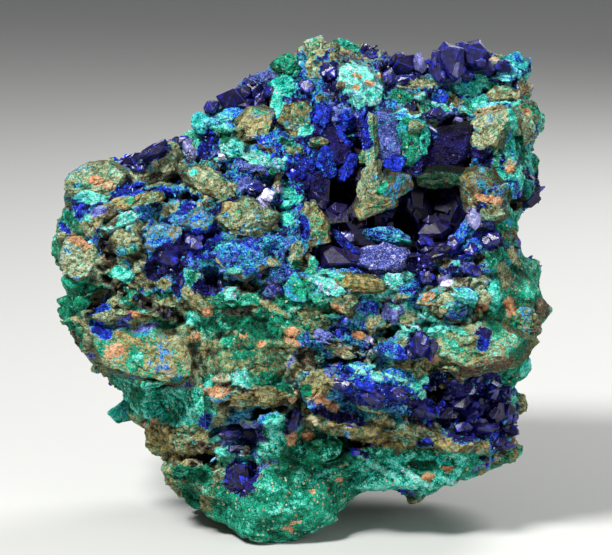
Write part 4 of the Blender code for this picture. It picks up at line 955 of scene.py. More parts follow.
def stainRock(skin, look, depths, around):
    # stores the minerals' shares with painted shade and brown in hollows, the painted light and shade of ridges and
    # hollows, and how thickly each kind of grain grows
    shares, _, underStone = layOut(skin, depths, around)
    hollow, wide = skin.hollowness(*look["near"]), skin.hollowness(*look["wide"])
    night, dawn, clear = [smoothStep(low, high, fractalNoise(skin.co, size, seed, 2))
                          for size, seed, low, high in (look["night"], look["dawn"], look["clear"])]
    # painted shade: hollows are darkened, less so where the rock is green
    sunk = np.clip(hollow * 0.45 + wide * 0.6, 0, 1) * (1 - 0.5 * np.clip(shares[:, column["malachite"]], 0, 1))
    addStain(shares, "shade", look["sunkShade"] * sunk ** 1.4)
    addStain(shares, "brown", look["sunkBrown"] * sunk)
    ridge = np.clip(-hollow * 0.5 - wide * 0.2, 0, 1)
    green, azure = shares[:, column["malachite"]], shares[:, column["azurite"]]
    blue = azure + shares[:, column["indigo"]]
    night = night * np.clip(azure, 0, 1)
    dawn = dawn * np.clip(azure, 0, 1)
    addStain(shares, "indigo", look["nightShare"] * night)
    addStain(shares, "slate", look["dawnShare"] * dawn * (1 - night))
    addStain(shares, "turquoise", look["clearShare"] * (clear * (1 - night)))
    addStain(shares, "turquoise", look["ridgeGreen"] * ridge * np.clip(green, 0, 1))
    # painted light and shade: positive on ridges, where the stone's colour is painted lighter, negative in hollows,
    # where it is painted darker
    skin.store("edge", np.clip(-hollow * 0.8 - wide * 0.3, -1.5, 1.5))
    skin.storeStains(shares)
    dark = shares[:, column["shade"]]
    skin.store("bed", (skin.co[:, 2] + 1.6 * fractalNoise(skin.co, 9, 44, 2)) / blockLook["layer"])
    bareRock = (1 - underStone) * smoothStep(0.6, 1.6, skin.co[:, 2])
    skin.store("azuriteShare", np.clip(blue * 1.5 - 0.55, 0, 1) * (1 - 0.6 * dark) * bareRock)
    skin.store("pointShare", np.clip(shares[:, column["indigo"]] * 1.6 - 0.3, 0, 1) * bareRock)
    calm = calmness(skin.co, facingShare(skin.normal))
    skin.store("malachiteShare", np.clip(green * 1.3 - 0.25 - blue, 0, 1) * (1 - dark) * bareRock * (1 - calm))
    strewn = smoothStep(0.0, 0.5, fractalNoise(skin.co, 5, 61, 2))
    skin.store("stoneShare", np.clip(1 - blue * 1.3 - dark, 0.0, 1) * strewn * bareRock)


def buildRock(look, material):
    # the rock in three steps: remeshed, shaped, and, once it is thinned out, laid out in minerals
    skin = Skin(remeshedRock(look, material))
    skin.co = skin.averaged(skin.co, 1)
    skin.write()
    around = roundPatches(skin, look["around"])
    depths = frontDepths(skin, [patch[:2] for group in patches.values() for patch in group])
    shapeRock(skin, look, depths, around)

    rock = addObject("rockBody", skin.mesh)
    shrink = rock.modifiers.new("Decimate", "DECIMATE")
    shrink.ratio = min(1.0, look["triangles"] / triangleCount(rock.data))
    shrink.use_collapse_triangulate = True
    final = plainMesh(rock, "rock")
    rock.modifiers.clear()
    rock.data = final
    bpy.data.meshes.remove(skin.mesh)
    print("rock has", len(final.polygons), "triangles")
    stainRock(Skin(final), stainLook, depths, around)
    final.materials.clear()
    final.materials.append(material)
    final.polygons.foreach_set("use_smooth", [True] * len(final.polygons))
    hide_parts("rock")
    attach(rock, "root")
    return rock, depths, around


def sphereOf(subdivisions):
    # directions spread over a sphere, closer together at the top, and the triangles between them
    bm = bmesh.new()
    bmesh.ops.create_icosphere(bm, subdivisions=subdivisions, radius=1)
    directions = np.array([v.co for v in bm.verts]) + np.array([0, 0, 0.45])
    faces = np.array([[v.index for v in f.verts] for f in bm.faces])
    bm.free()
    return directions / np.linalg.norm(directions, axis=1)[:, None], faces


def stoneShape(directions, rng, wear):
    # an angular stone of unit size, cut by random planes, and how near each point is to one of its edges
    planes = [((rng.uniform(-0.25, 0.25), rng.uniform(-0.25, 0.25), 1.0), rng.uniform(0.6, 0.8)), ((0, 0, -1.0), 1.0)]
    sides = rng.integers(5, 9)
    start = rng.uniform(0, 6.28)
    for k in range(sides):
        t = start + 2 * math.pi * (k + rng.uniform(-0.28, 0.28)) / sides
        planes.append(((math.cos(t), math.sin(t), rng.uniform(-0.05, 0.4)), rng.uniform(0.74, 1.0)))
    for _ in range(3):
        t = rng.uniform(0, 6.28)
        planes.append(((math.cos(t), math.sin(t), rng.uniform(0.8, 1.8)), rng.uniform(0.7, 0.9)))
    reach = []
    for normal, distance in planes:
        normal = np.array(normal) / np.linalg.norm(normal)
        reach.append(distance / np.maximum(directions @ normal, 0.02))
    reach = np.stack(reach)
    ordered = np.sort(reach, axis=0)
    worn = -np.log(np.exp(-wear * np.minimum(reach, 4)).sum(0)) / wear
    return directions * worn[:, None], np.clip(1 - (ordered[1] - ordered[0]) / 0.3, 0, 1)


def standingStones(name, wanted, look, material, depths, around):
    # separate angular stones, each with its own mineral, layers and tilt, set into the rock
    spheres = {k: sphereOf(k) for k in (3, 4, 5)}
    points, faces, ground, tones, beds, edges, count = [], [], [], [], [], [], 0
    for number, (mineral, place, axes, a, b, level, proudness) in enumerate(wanted):
        rng = np.random.default_rng(700 + number)
        directions, triangles = spheres[level]
        shape, rim = stoneShape(directions, rng, look["wear"])
        depth = min(3.0, 0.55 * min(a, b) + 0.6)
        stand = min(look["highest"], look["stand"] * min(a, b) + 0.25) * rng.uniform(0.7, 1.3) * proudness
        local = shape * np.array([a, b, depth])
        lift = stand - 0.75 * depth
        co = place + (local + np.array([0, 0, lift])) @ axes
        along = rng.uniform(-0.5, 0.5)
        bedding = axes[1] * 0.85 + axes[0] * along * 0.4 + axes[2] * rng.uniform(0.3, 0.6)
        bed = (co @ bedding + 0.5 * fractalNoise(co, 3.0, 80, 2)) / look["layer"]
        step = (bed % 1.0) * smoothStep(1.0, 0.85, bed % 1.0)
        chips, clear = chippedRelief(co, look["chipSize"], 81)
        relief = look["chip"] * chips - 0.12 * (1 - clear) ** 2 + look["grain"] * fractalNoise(co, 0.7, 82, 2)
        relief += look["layerStep"] * (step - 0.5) * smoothStep(-0.4, 0.2, fractalNoise(co, 4, 83, 2))
        outward = directions @ axes
        co = co + outward * relief[:, None]
        top = smoothStep(-0.15, 0.35, (local[:, 2] / depth))
        mix = np.repeat(recipes[mineral][None, :] * rng.uniform(0.85, 1.15), len(co), axis=0)
        # painted shade on the lower part of each stone, where it meets the rock
        mix[:, column["shade"]] += 0.5 * smoothStep(0.3, -0.7, local[:, 2] + lift)
        mix[:, column["turquoise"]] += rng.uniform(0.0, 0.4) * rim * top
        for part, most in (("malachite", 0.3), ("brown", 0.32), ("ochre", 0.25), ("pale", 0.25), ("azurite", 0.28)):
            field = fractalNoise(co, 2.6, 84 + column[part], 2) + rng.uniform(-0.5, 0.15)
            mix[:, column[part]] += most * smoothStep(0.0, 0.5, field)
        points.append(co)
        faces.append(triangles + count)
        count += len(co)
        ground.append(np.clip(mix, 0, 1))
        tones.append(np.full(len(co), rng.uniform(-0.7, 0.7)))
        beds.append(bed)
        # painted light: lighter along the stone's top rim and on its bumps, darker on its lower sides
        edges.append(0.8 * rim * top - 0.2 * (1 - top) + 1.5 * relief)
    mesh = bpy.data.meshes.new(name)
    mesh.from_pydata((np.concatenate(points) * mm).tolist(), [], np.concatenate(faces).tolist())
    mesh.update()
    skin = Skin(mesh)
    skin.co = keptInBox(skin.co)
    skin.write()
    skin.storeStains(layOut(skin, depths, around, np.concatenate(ground))[0])
    for layer, values in (("tone", tones), ("bed", beds), ("edge", edges)):
        skin.store(layer, np.concatenate(values))
    mesh.polygons.foreach_set("use_smooth", [True] * len(mesh.polygons))
    mesh.set_sharp_from_angle(angle=math.radians(38))
    mesh.materials.append(material)
    made = addObject(name, mesh)
    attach(made, "root")
    print(name, len(wanted), "stones, triangles", len(mesh.polygons))
    return made


stoneDetail = {"fine": 3.8, "middle": 1.75, "sides": 8, "hollow": 3}


def levelFor(size):
    # how often a stone's sphere is split, by the stone's size in mm
    return 5 if size > stoneDetail["fine"] else 4 if size > stoneDetail["middle"] else 3


def faceStonePlaces(rockTree):
    # a stone for each large enough patch of the display face
    chosen = []
    for mineral, group in patches.items():
        for x, h, a, b, turn in group:
            calm = calmness(np.array([onFace(x, h, -20)]) / mm, np.ones(1))[0]
            if not isBlock(mineral, a, b) or h < blockLook["above"] or (calm > 0.56 and math.sqrt(a * b) < 3.4):
                continue
            turn = math.radians(ownTurn(x, h, turn))
            c, s = math.cos(turn), math.sin(turn)
            hits = []
            for u, v in ((0, 0), (0.6, 0), (-0.6, 0), (0, 0.6), (0, -0.6)):
                hit, normal = rockTree.ray_cast(onFace(x + u * a * c - v * b * s, h + u * a * s + v * b * c, -60),
                                                intoRock)[:2]
                if hit:
                    hits.append((hit.dot(intoRock) / mm, normal))
            if not hits:
                continue
            hits.sort(key=lambda hit: hit[0])
            depth = hits[min(1, len(hits) - 1)][0] + 0.2
            normal = sum((hit[1] for hit in hits), Vector()) / len(hits)
            out = (normal - 0.9 * intoRock).normalized()
            across = Vector((1, 0, 0)) * c + upFace * s
            across = (across - out * across.dot(out)).normalized()
            place = onFace(x, h, 0) / mm
            chosen.append((mineral, np.array(place + intoRock * (depth - place.dot(intoRock))),
                           np.array([across, out.cross(across), out]), a, b, levelFor(math.sqrt(a * b)), 1.0))
    return chosen


def sideStonePlaces(around, look):
    # the stones of the sides and back, away from the outline of the display face
    rng = np.random.default_rng(31)
    chosen = []
    for patch in around:
        a, b = patch["halfWidth"], patch["halfHeight"]
        if (isBlock(patch["mineral"], a, b) and look["smallest"] < math.sqrt(a * b) < look["largest"]
                and patch["place"][2] > blockLook["above"] and rng.random() < look["share"]):
            if np.dot(patch["normal"], np.array(intoRock)) >= look["turnedAway"]:
                chosen.append((patch["mineral"], patch["place"], axesOf(patch), a, b,
                               4 if a * b > stoneDetail["sides"] else 3, look["stand"]))
    return chosen


# Stones in and around the hollow: mineral, x, h, d, half width, half height, turn, how far each faces up and to the
# right in degrees. The first list is the violet slab that parts the hollow.
# The roof, wedge and wall stones carry painted shade, and the slab and fan stones some painted lilac sheen.
hollowStones = {
    "slab": [
        ("slabBlue", 15.0, 70.6, -20.6, 2.9, 6.0, 5, 0, -8), ("azure", 16.0, 66.4, -21.4, 1.9, 1.9, 10, -10, -8),
    ],
    "rest": [
        ("green", 19.0, 70.6, -20.2, 3.3, 5.2, -6, 5, 10), ("turquoise", 17.6, 74.8, -20.0, 3.2, 1.4, 6, 20, 4),
        ("pale", 12.1, 70.4, -21.8, 1.3, 6.0, 2, 4, -16), ("turquoise", 21.4, 70.8, -20.2, 1.2, 3.2, 0, 0, 24),
        ("greenTan", 19.8, 73.0, -21.6, 1.4, 1.2, 20, 5, 10), ("pale", 11.6, 63.0, -23.4, 2.0, 4.4, -18, 0, -20),
        ("greenTan", 13.0, 59.4, -23.4, 3.8, 1.6, 12, -8, 0), ("wedge", 15.8, 62.6, -22.8, 3.8, 2.4, 28, -14, 10),
        ("roof", 24.8, 63.8, -20.4, 6.4, 1.9, 3, -22, 0), ("indigo", 7.0, 69.4, -19.2, 2.8, 3.4, 28, 0, 24),
        ("azure", 8.4, 66.0, -19.6, 1.3, 3.0, -30, 0, 30), ("azure", 4.4, 66.6, -20.6, 2.0, 3.4, 12, 0, 26),
        ("fan", 14.1, 50.5, -26.2, 5.2, 2.7, 3, 26, -4), ("azure", 7.2, 53.2, -25.8, 4.2, 0.6, -40, 10, -8),
        ("olive", 31.4, 61.6, -22.6, 3.4, 4.2, 24, 0, -6), ("pale", 32.8, 58.0, -22.8, 2.6, 1.8, 12, 8, 0),
        ("mixedBlue", 15.0, 54.4, -23.6, 4.4, 1.3, -14, 24, 0),
        ("turquoise", 17.2, 53.6, -24.0, 1.8, 0.7, -16, 20, 0),
        ("blueGreen", 27.8, 54.8, -22.2, 1.2, 3.0, -32, 5, -25), ("tan", 3.2, 70.4, -20.6, 1.3, 0.9, 10, 5, 0),
        ("tan", 10.8, 67.7, -19.4, 0.9, 1.3, 10, 0, 0), ("pale", 1.4, 57.0, -25.0, 1.5, 3.2, -20, 0, 10),
        ("violet", 7.2, 74.8, -16.8, 2.4, 2.5, 20, 8, -8), ("azure", 3.6, 74.8, -17.6, 1.6, 2.2, -10, 8, 8),
        ("indigo", 3.0, 62.8, -22.0, 1.8, 2.6, 12, 0, 24), ("azure", 1.0, 65.6, -21.8, 1.6, 2.2, 0, 0, 14),
        ("wall", 24.6, 68.6, -18.2, 5.0, 3.7, 14, -14, -6), ("wall", 21.8, 66.8, -18.4, 2.6, 2.8, -14, -8, 14),
    ],
}


def hollowStonePlaces(group):
    return [(mineral, np.array(onFace(x, h, d) / mm), np.array(turned(turn, lift, swing).transposed()), a, b,
             4 if a * b > stoneDetail["hollow"] else 3, 1.0) for mineral, x, h, d, a, b, turn, lift, swing in group]


# Colours are sRGB hex values, from the darkest to the lightest of each part; sizes are in mm.
stoneLook = {
    "tan": ("#383628", "#7b784e", "#aca67c"), "ochre": ("#5a4218", "#957a3a", "#b89a5a"),
    "pale": ("#4b563e", "#8a906e", "#c2c2a2"), "brown": ("#1c110e", "#46302a", "#6a4e42"),
    "salmon": ("#9a5a36", "#c68a60", "#d8a480"), "malachite": ("#002e24", "#007458", "#06a884"),
    "deep": ("#001c14", "#00543c", "#00805c"), "turquoise": ("#008c78", "#18c0ac", "#86e4d4"),
    "azurite": ("#06062c", "#10167c", "#2440dc"), "indigo": ("#040310", "#100c38", "#221c66"),
    # The pale lilac colours are painted sheen and glints; shade is the near black of painted shade.
    "slate": ("#1e2458", "#4450a0", "#7d88c8"), "lilac": ("#6e6aa6", "#b3b0dc", "#e6e4f6"), "shade": "#050406",
    "halo": ("#0a8a86", "#30b4be", "#3c8ad8"), "crack": "#0d0a08",
    "broadNoise": 2.4, "noise": 0.9, "fineNoise": 0.28, "cracks": 1.5, "bump": 0.9,
    "specks": {"ochre": 0.16, "pale": 0.14, "brown": 0.17, "salmon": 0.1, "malachite": 0.22, "turquoise": 0.15},
    "soft": {"ochre": 0.85, "pale": 0.85, "brown": 0.85, "malachite": 0.97, "deep": 0.97, "turquoise": 0.93},
    "level": 0.49, "softReach": 0.11, "sharpReach": 0.03, "flecks": 0.8, "crevice": 0.42, "lineReach": 3.0,
    "wander": 1.1, "crackle": 0.6, "bumpDepth": 0.45, "gloss": 0.09, "ior": 1.55, "dull": 0.72, "glassy": 0.32,
}


def stoneMaterial(look):
    # weathered gossan carrying malachite and azurite: dull and earthy, silky where it is green, glassy where blue
    material, add = newMaterial("gossan with malachite and azurite")
    smooth = {"interpolation_type": "SMOOTHSTEP"}
    steps = (0.3, 0.5, 0.7)
    where = add("ShaderNodeTexCoord").outputs["Object"]
    tone = add("ShaderNodeAttribute", attribute_name="tone").outputs["Fac"]
    edge = add("ShaderNodeAttribute", attribute_name="edge").outputs["Fac"]
    noises = []
    for size, detail, shift in ((look["broadNoise"], 3, 0.0), (look["noise"], 4, 5.0), (look["fineNoise"], 3, 9.0)):
        moved = add("ShaderNodeMapping", {"Vector": where, "Location": (shift, shift, shift)})
        made = add("ShaderNodeTexNoise",
                   {"Vector": moved, "Scale": 1 / (size * mm), "Detail": detail, "Roughness": 0.62})
        split = add("ShaderNodeSeparateColor", (made.outputs["Color"],))
        noises.append([add("ShaderNodeMath", (c, 0.5), operation="SUBTRACT") for c in split.outputs]
                      + [made.outputs["Fac"], made.outputs["Color"]])
    broad, middle, fine = noises
    stains = {}
    for group, layer in zip((parts[:4], parts[4:8], parts[8:]), stainLayers):
        read = add("ShaderNodeAttribute", attribute_name=layer)
        split = add("ShaderNodeSeparateColor", (read.outputs["Color"],))
        stains.update(zip(group, list(split.outputs) + [read.outputs["Alpha"]]))

    # light and dark within a part: fine noise, the grain's own tone, and painted light on ridges and painted shade in
    # hollows
    light = fine[3]
    for value, much in ((tone, 0.12), (middle[0], 0.7), (edge, 0.13)):
        light = add("ShaderNodeMath", (value, much, light), operation="MULTIPLY_ADD")
    base = add("ShaderNodeValToRGB", (light,), stops=list(zip(steps, look["tan"])))
    levels = {}
    order = ["ochre", "pale", "brown", "salmon", "malachite", "deep", "turquoise", "azurite", "indigo", "slate",
             "lilac"]
    for k, part in enumerate(order):
        rough = add("ShaderNodeMath", (middle[k % 3], 1.35), operation="MULTIPLY")
        for value, much in ((fine[(k + 1) % 3], 1.9), (broad[(k + 2) % 3], 0.6)):
            rough = add("ShaderNodeMath", (value, much, rough), operation="MULTIPLY_ADD")
        specks = look["specks"].get(part, -1.0)
        if part in ("ochre", "pale", "brown", "turquoise"):
            specks = add("ShaderNodeMath", (stains["malachite"], -0.3, specks), operation="MULTIPLY_ADD")
        stain = add("ShaderNodeMath", (stains[part], specks), operation="MAXIMUM")
        levels[part] = add("ShaderNodeMath", (stain, rough), operation="ADD")
        if part == "azurite":
            # where azurite meets the rock, a halo of green and sky blue
            near = add("ShaderNodeMath", (add("ShaderNodeMapRange", (levels[part], 0.16, 0.3), **smooth),
                                          add("ShaderNodeMapRange", (stains[part], 0.12, 0.3), **smooth)),
                       operation="MULTIPLY")
            halo = add("ShaderNodeValToRGB", (light,), stops=list(zip(steps, look["halo"])))
            base = add("ShaderNodeMix", {0: near, 6: base, 7: halo}, data_type="RGBA")
        reach = look["softReach"] if part in look["soft"] else look["sharpReach"]
        cover = add("ShaderNodeMapRange", (levels[part], look["level"] - reach, look["level"] + reach), **smooth)
        cover = add("ShaderNodeMath", (cover, look["soft"].get(part, 1.0)), operation="MULTIPLY")
        colours = add("ShaderNodeValToRGB", (light,), stops=list(zip(steps, look[part])))
        base = add("ShaderNodeMix", {0: cover, 6: base, 7: colours}, data_type="RGBA")

    # small pale, rusty and dark flecks on the green
    flecks = add("ShaderNodeTexVoronoi", {"Vector": where, "Scale": 1 / (look["flecks"] * mm)}, feature="F1")
    split = add("ShaderNodeSeparateColor", (flecks.outputs["Color"],))
    spot = add("ShaderNodeMath", (middle[1], 0.5, flecks.outputs["Distance"]), operation="MULTIPLY_ADD")
    spot = add("ShaderNodeMapRange", (spot, 0.3, 0.24), **smooth)
    for value, low, high in ((split.outputs[0], 0.52, 0.54), (stains["malachite"], 0.7, 0.95)):
        spot = add("ShaderNodeMath", (spot, add("ShaderNodeMapRange", (value, low, high), **smooth)),
                   operation="MULTIPLY")
    spot = add("ShaderNodeMath", (spot, 0.8), operation="MULTIPLY")
    fleck = linear(look["pale"][2])
    for low, high, colour in ((0.7, 0.74, look["salmon"][1]), (0.14, 0.1, look["brown"][0])):
        pick = add("ShaderNodeMapRange", (split.outputs[1], low, high), **smooth)
        fleck = add("ShaderNodeMix", {0: pick, 6: fleck, 7: linear(colour)}, data_type="RGBA")
    base = add("ShaderNodeMix", {0: spot, 6: base, 7: fleck}, data_type="RGBA")

    # cracks between crumbs of stone, and thin layers in it along its own beds
    wander = add("ShaderNodeVectorMath", (middle[4], (look["wander"] * mm,) * 3, where), operation="MULTIPLY_ADD")
    crumbs = add("ShaderNodeTexVoronoi", {"Vector": wander, "Scale": 1 / (look["cracks"] * mm)},
                 feature="DISTANCE_TO_EDGE")
    spread = add("ShaderNodeVectorMath", (where, (1 / look["lineReach"] / mm,) * 3), operation="MULTIPLY")
    apart = add("ShaderNodeSeparateXYZ", (spread,))
    bed = add("ShaderNodeAttribute", attribute_name="bed").outputs["Fac"]
    thin = add("ShaderNodeCombineXYZ", (apart.outputs[0], apart.outputs[2], bed))
    layers = add("ShaderNodeTexNoise", {"Vector": thin, "Scale": 1.0, "Detail": 2.0}).outputs["Fac"]
    crackle = add("ShaderNodeTexVoronoi", {"Vector": where, "Scale": 1 / (look["crackle"] * mm)}, feature="F1")
    crackle = crackle.outputs["Distance"]
    crack, line, crevice = [
        add("ShaderNodeMath", [add("ShaderNodeMapRange", values, **smooth) for values in pair], operation="MULTIPLY")
        for pair in (((crumbs.outputs["Distance"], 0.06, 0.0), (broad[3], 0.5, 0.66)),
                     ((layers, 0.47, 0.36), (broad[3], 0.62, 0.4)),
                     ((crackle, 0.5, 0.85), (stains["malachite"], 1.2, 0.2)))]
    line = add("ShaderNodeMath", (line, 0.8), operation="MULTIPLY")
    crack = add("ShaderNodeMath", (crack, line), operation="MAXIMUM")
    # painted shade: the shade stain darkens the colour to near black in hollows, holes, gaps round stones and their
    # lower sides
    shade = add("ShaderNodeMath", (middle[0], 0.7, stains["shade"]), operation="MULTIPLY_ADD")
    shade = add("ShaderNodeMapRange", (shade, 0.1, 0.95), **smooth)
    for share, much, colour in ((crack, 0.5, "crack"), (crevice, look["crevice"], "crack"), (shade, 0.93, "shade")):
        share = add("ShaderNodeMath", (share, much), operation="MULTIPLY")
        base = add("ShaderNodeMix", {0: share, 6: base, 7: linear(look[colour])}, data_type="RGBA")

    blue = add("ShaderNodeMath", (levels["azurite"], levels["indigo"]), operation="MAXIMUM")
    blue = add("ShaderNodeMapRange", (blue, 0.45, 0.53), **smooth)
    roughness = add("ShaderNodeMapRange", {"Value": blue, "To Min": look["dull"], "To Max": look["glassy"]})
    height = fine[3]
    for value, much in ((middle[3], 1.6), (crackle, -0.5), (crack, -0.7)):
        height = add("ShaderNodeMath", (value, much, height), operation="MULTIPLY_ADD")
    bump = add("ShaderNodeBump", {"Strength": look["bump"], "Distance": look["bumpDepth"] * mm, "Height": height})
    shader = add("ShaderNodeBsdfPrincipled", {"Base Color": base, "Roughness": roughness, "Normal": bump,
                                              "IOR": look["ior"], "Specular IOR Level": look["gloss"]})
    add("ShaderNodeOutputMaterial", {"Surface": shader})
    return material


# What all crystals share, with sizes in mm, and the finishes that one can have.
crystalGrain = {"growth": 0.9, "lines": 1.6, "bump": 0.35, "bumpDepth": 0.5, "ior": 1.73, "greenFrom": 0.74,
                "greenTo": 0.8}
crystalLooks = {
    "azurite": {
        "name": "azurite crystals", "core": "#040216", "body": "#0c0c4c", "edge": "#1c2ccc", "sheen": "#4a48a4",
        "turquoise": "#1fb0a0", "roughness": 0.3, "gloss": 0.3,
    },
    "night": {
        "name": "dark azurite crystals", "core": "#020010", "body": "#0b062e", "edge": "#15167c", "sheen": "#3c3490",
        "turquoise": "#1d8f86", "roughness": 0.34, "gloss": 0.2,
    },
    # pale lilac grey faces: painted sheen, light reflected on the faces
    "plate": {
        "name": "striated azurite faces", "core": "#3c3a66", "body": "#5f6090", "edge": "#8486b4", "sheen": "#b4b6d8",
        "turquoise": "#8486b4", "roughness": 0.3, "gloss": 0.5,
    },
    "violetWall": {
        "name": "violet azurite faces", "core": "#0a0518", "body": "#140b2c", "edge": "#1e184e", "sheen": "#2c245c",
        "turquoise": "#1c5a80", "roughness": 0.42, "gloss": 0.12,
    },
    # a darker copy of the azurite for the hollow: painted shade
    "vug": {
        "name": "azurite in the hollow", "core": "#020108", "body": "#07041c", "edge": "#0f0e4c", "sheen": "#201e5c",
        "turquoise": "#0c2a60", "roughness": 0.4, "gloss": 0.12,
    },
    # near white faces: painted glints
    "glint": {
        "name": "bright azurite faces", "core": "#8c8ab8", "body": "#b8b8dc", "edge": "#dcdcf2", "sheen": "#f4f4ff",
        "turquoise": "#dcdcf2", "roughness": 0.25, "gloss": 0.6,
    },
    "dusk": {
        "name": "weathered azurite crystals", "core": "#060420", "body": "#12104a", "edge": "#20248c",
        "sheen": "#4a48a8", "turquoise": "#1d8f86", "roughness": 0.5, "gloss": 0.16,
    },
    # the worn bevels along crystal edges: vivid blue painted as light coming through thin edges
    "rim": {
        "name": "blue azurite rims", "core": "#04041c", "body": "#0f1266", "edge": "#1c30d8", "sheen": "#4a64f0",
        "turquoise": "#1fb0a0", "roughness": 0.3, "gloss": 0.3,
    },
}


def azuriteMaterial(look):
    # glassy azurite: almost black indigo in the body; vivid blue painted where light would come through thin edges and
    # tips, and a painted sheen at the top of the ramp
    material, add = newMaterial(look["name"])
    where = add("ShaderNodeTexCoord").outputs["Object"]
    tone = add("ShaderNodeAttribute", attribute_name="tone").outputs["Fac"]
    tip = add("ShaderNodeAttribute", attribute_name="tip").outputs["Fac"]
    beneath = add("ShaderNodeAttribute", attribute_name="stainC")
    split = add("ShaderNodeSeparateColor", (beneath.outputs["Color"],))
    grown = add("ShaderNodeTexNoise", {"Vector": where, "Scale": 1 / (crystalGrain["growth"] * mm), "Detail": 3.0})
    grown = grown.outputs["Fac"]
    level = grown
    # painted light: the colour climbs to the edge light and sheen colours with tone and towards the tips
    for value, much in ((tone, 0.28), (tip, 0.22), (split.outputs[1], -0.14), (split.outputs[2], 0.2)):
        level = add("ShaderNodeMath", (value, much, level), operation="MULTIPLY_ADD")
    stops = list(zip((0.3, 0.52, 0.76, 0.98), (look[part] for part in ("core", "body", "edge", "sheen"))))
    ramp = add("ShaderNodeValToRGB", (level,), stops=stops)
    green = add("ShaderNodeMapRange", (tone, crystalGrain["greenFrom"], crystalGrain["greenTo"]))
    green = add("ShaderNodeMath", (green, grown), operation="MULTIPLY")
    colour = add("ShaderNodeMix", {0: green, 6: ramp, 7: linear(look["turquoise"])}, data_type="RGBA")
    lines = add("ShaderNodeTexNoise",
                {"Vector": where, "Scale": 1 / (crystalGrain["lines"] * mm), "Detail": 5.0, "Roughness": 0.7})
    bump = add("ShaderNodeBump", {"Strength": crystalGrain["bump"], "Distance": crystalGrain["bumpDepth"] * mm,
                                  "Height": lines.outputs["Fac"]})
    shader = add("ShaderNodeBsdfPrincipled",
                 {"Base Color": colour, "Roughness": look["roughness"], "IOR": crystalGrain["ior"],
                  "Specular IOR Level": look["gloss"], "Normal": bump})
    add("ShaderNodeOutputMaterial", {"Surface": shader})
    return material


stone = stoneMaterial(stoneLook)
finishes = {finish: azuriteMaterial(look) for finish, look in crystalLooks.items()}
rock, depths, around = buildRock(rockLook, stone)
ground = surfaceTree([v.co for v in rock.data.vertices], rock.data)
stones = {name: standingStones(name, places, blockLook, stone, depths, around) for name, places in (
    ("faceStones", faceStonePlaces(ground)), ("sideStones", sideStonePlaces(around, blockLook["sides"])),
    ("hollowStones", hollowStonePlaces(hollowStones["rest"])), ("slabStone", hollowStonePlaces(hollowStones["slab"])))}
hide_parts("azurite_slab")

druseLook = {
    "stone": {"spacing": 0.8, "smallest": 0.12, "largest": 0.38, "lean": 1.2, "sink": -0.05, "seed": 4},
    "malachite": {"spacing": 0.7, "smallest": 0.1, "largest": 0.24, "lean": 1.5, "sink": -0.02, "seed": 8},
    "azurite": {"spacing": 0.58, "smallest": 0.25, "largest": 0.7, "lean": 1.0, "sink": -0.05, "seed": 6},
    "azuriteLarge": {"spacing": 2.1, "smallest": 0.8, "largest": 1.8, "lean": 1.0, "sink": -0.2, "seed": 16},
    "vug": {"spacing": 2.4, "smallest": 0.9, "largest": 2.2, "lean": 0.7, "sink": -0.4, "seed": 9},
}
grains = variantSet("grains", [chunk(f"grain{k}", 70 + k, 8, (1, 0.8, 0.7)) for k in range(6)])
tufts = variantSet("tufts", [chunk(f"tuft{k}", 90 + k, 9, (0.8, 0.8, 1.1)) for k in range(6)])
points = variantSet("points", [crystalMesh(f"point{k}", 110 + k, 6, 0.55 + 0.06 * k, 0.32 + 0.05 * (k % 3), 1.0, 0.3)
                               for k in range(6)])


for name, where, sizes, variants, material, slot in (
        ("gossanGrains", "stoneShare", "stone", grains, stone, "gossan"),
        ("malachiteGrains", "malachiteShare", "malachite", tufts, stone, "gossan"),
        ("azuriteDruse", "azuriteShare", "azurite", points, finishes["azurite"], "azurite_crust"),
        ("azuritePoints", "pointShare", "azuriteLarge", points, finishes["azurite"], "azurite")):
    grow(rock, name, where, scatterValues(druseLook[sizes], variants, material))

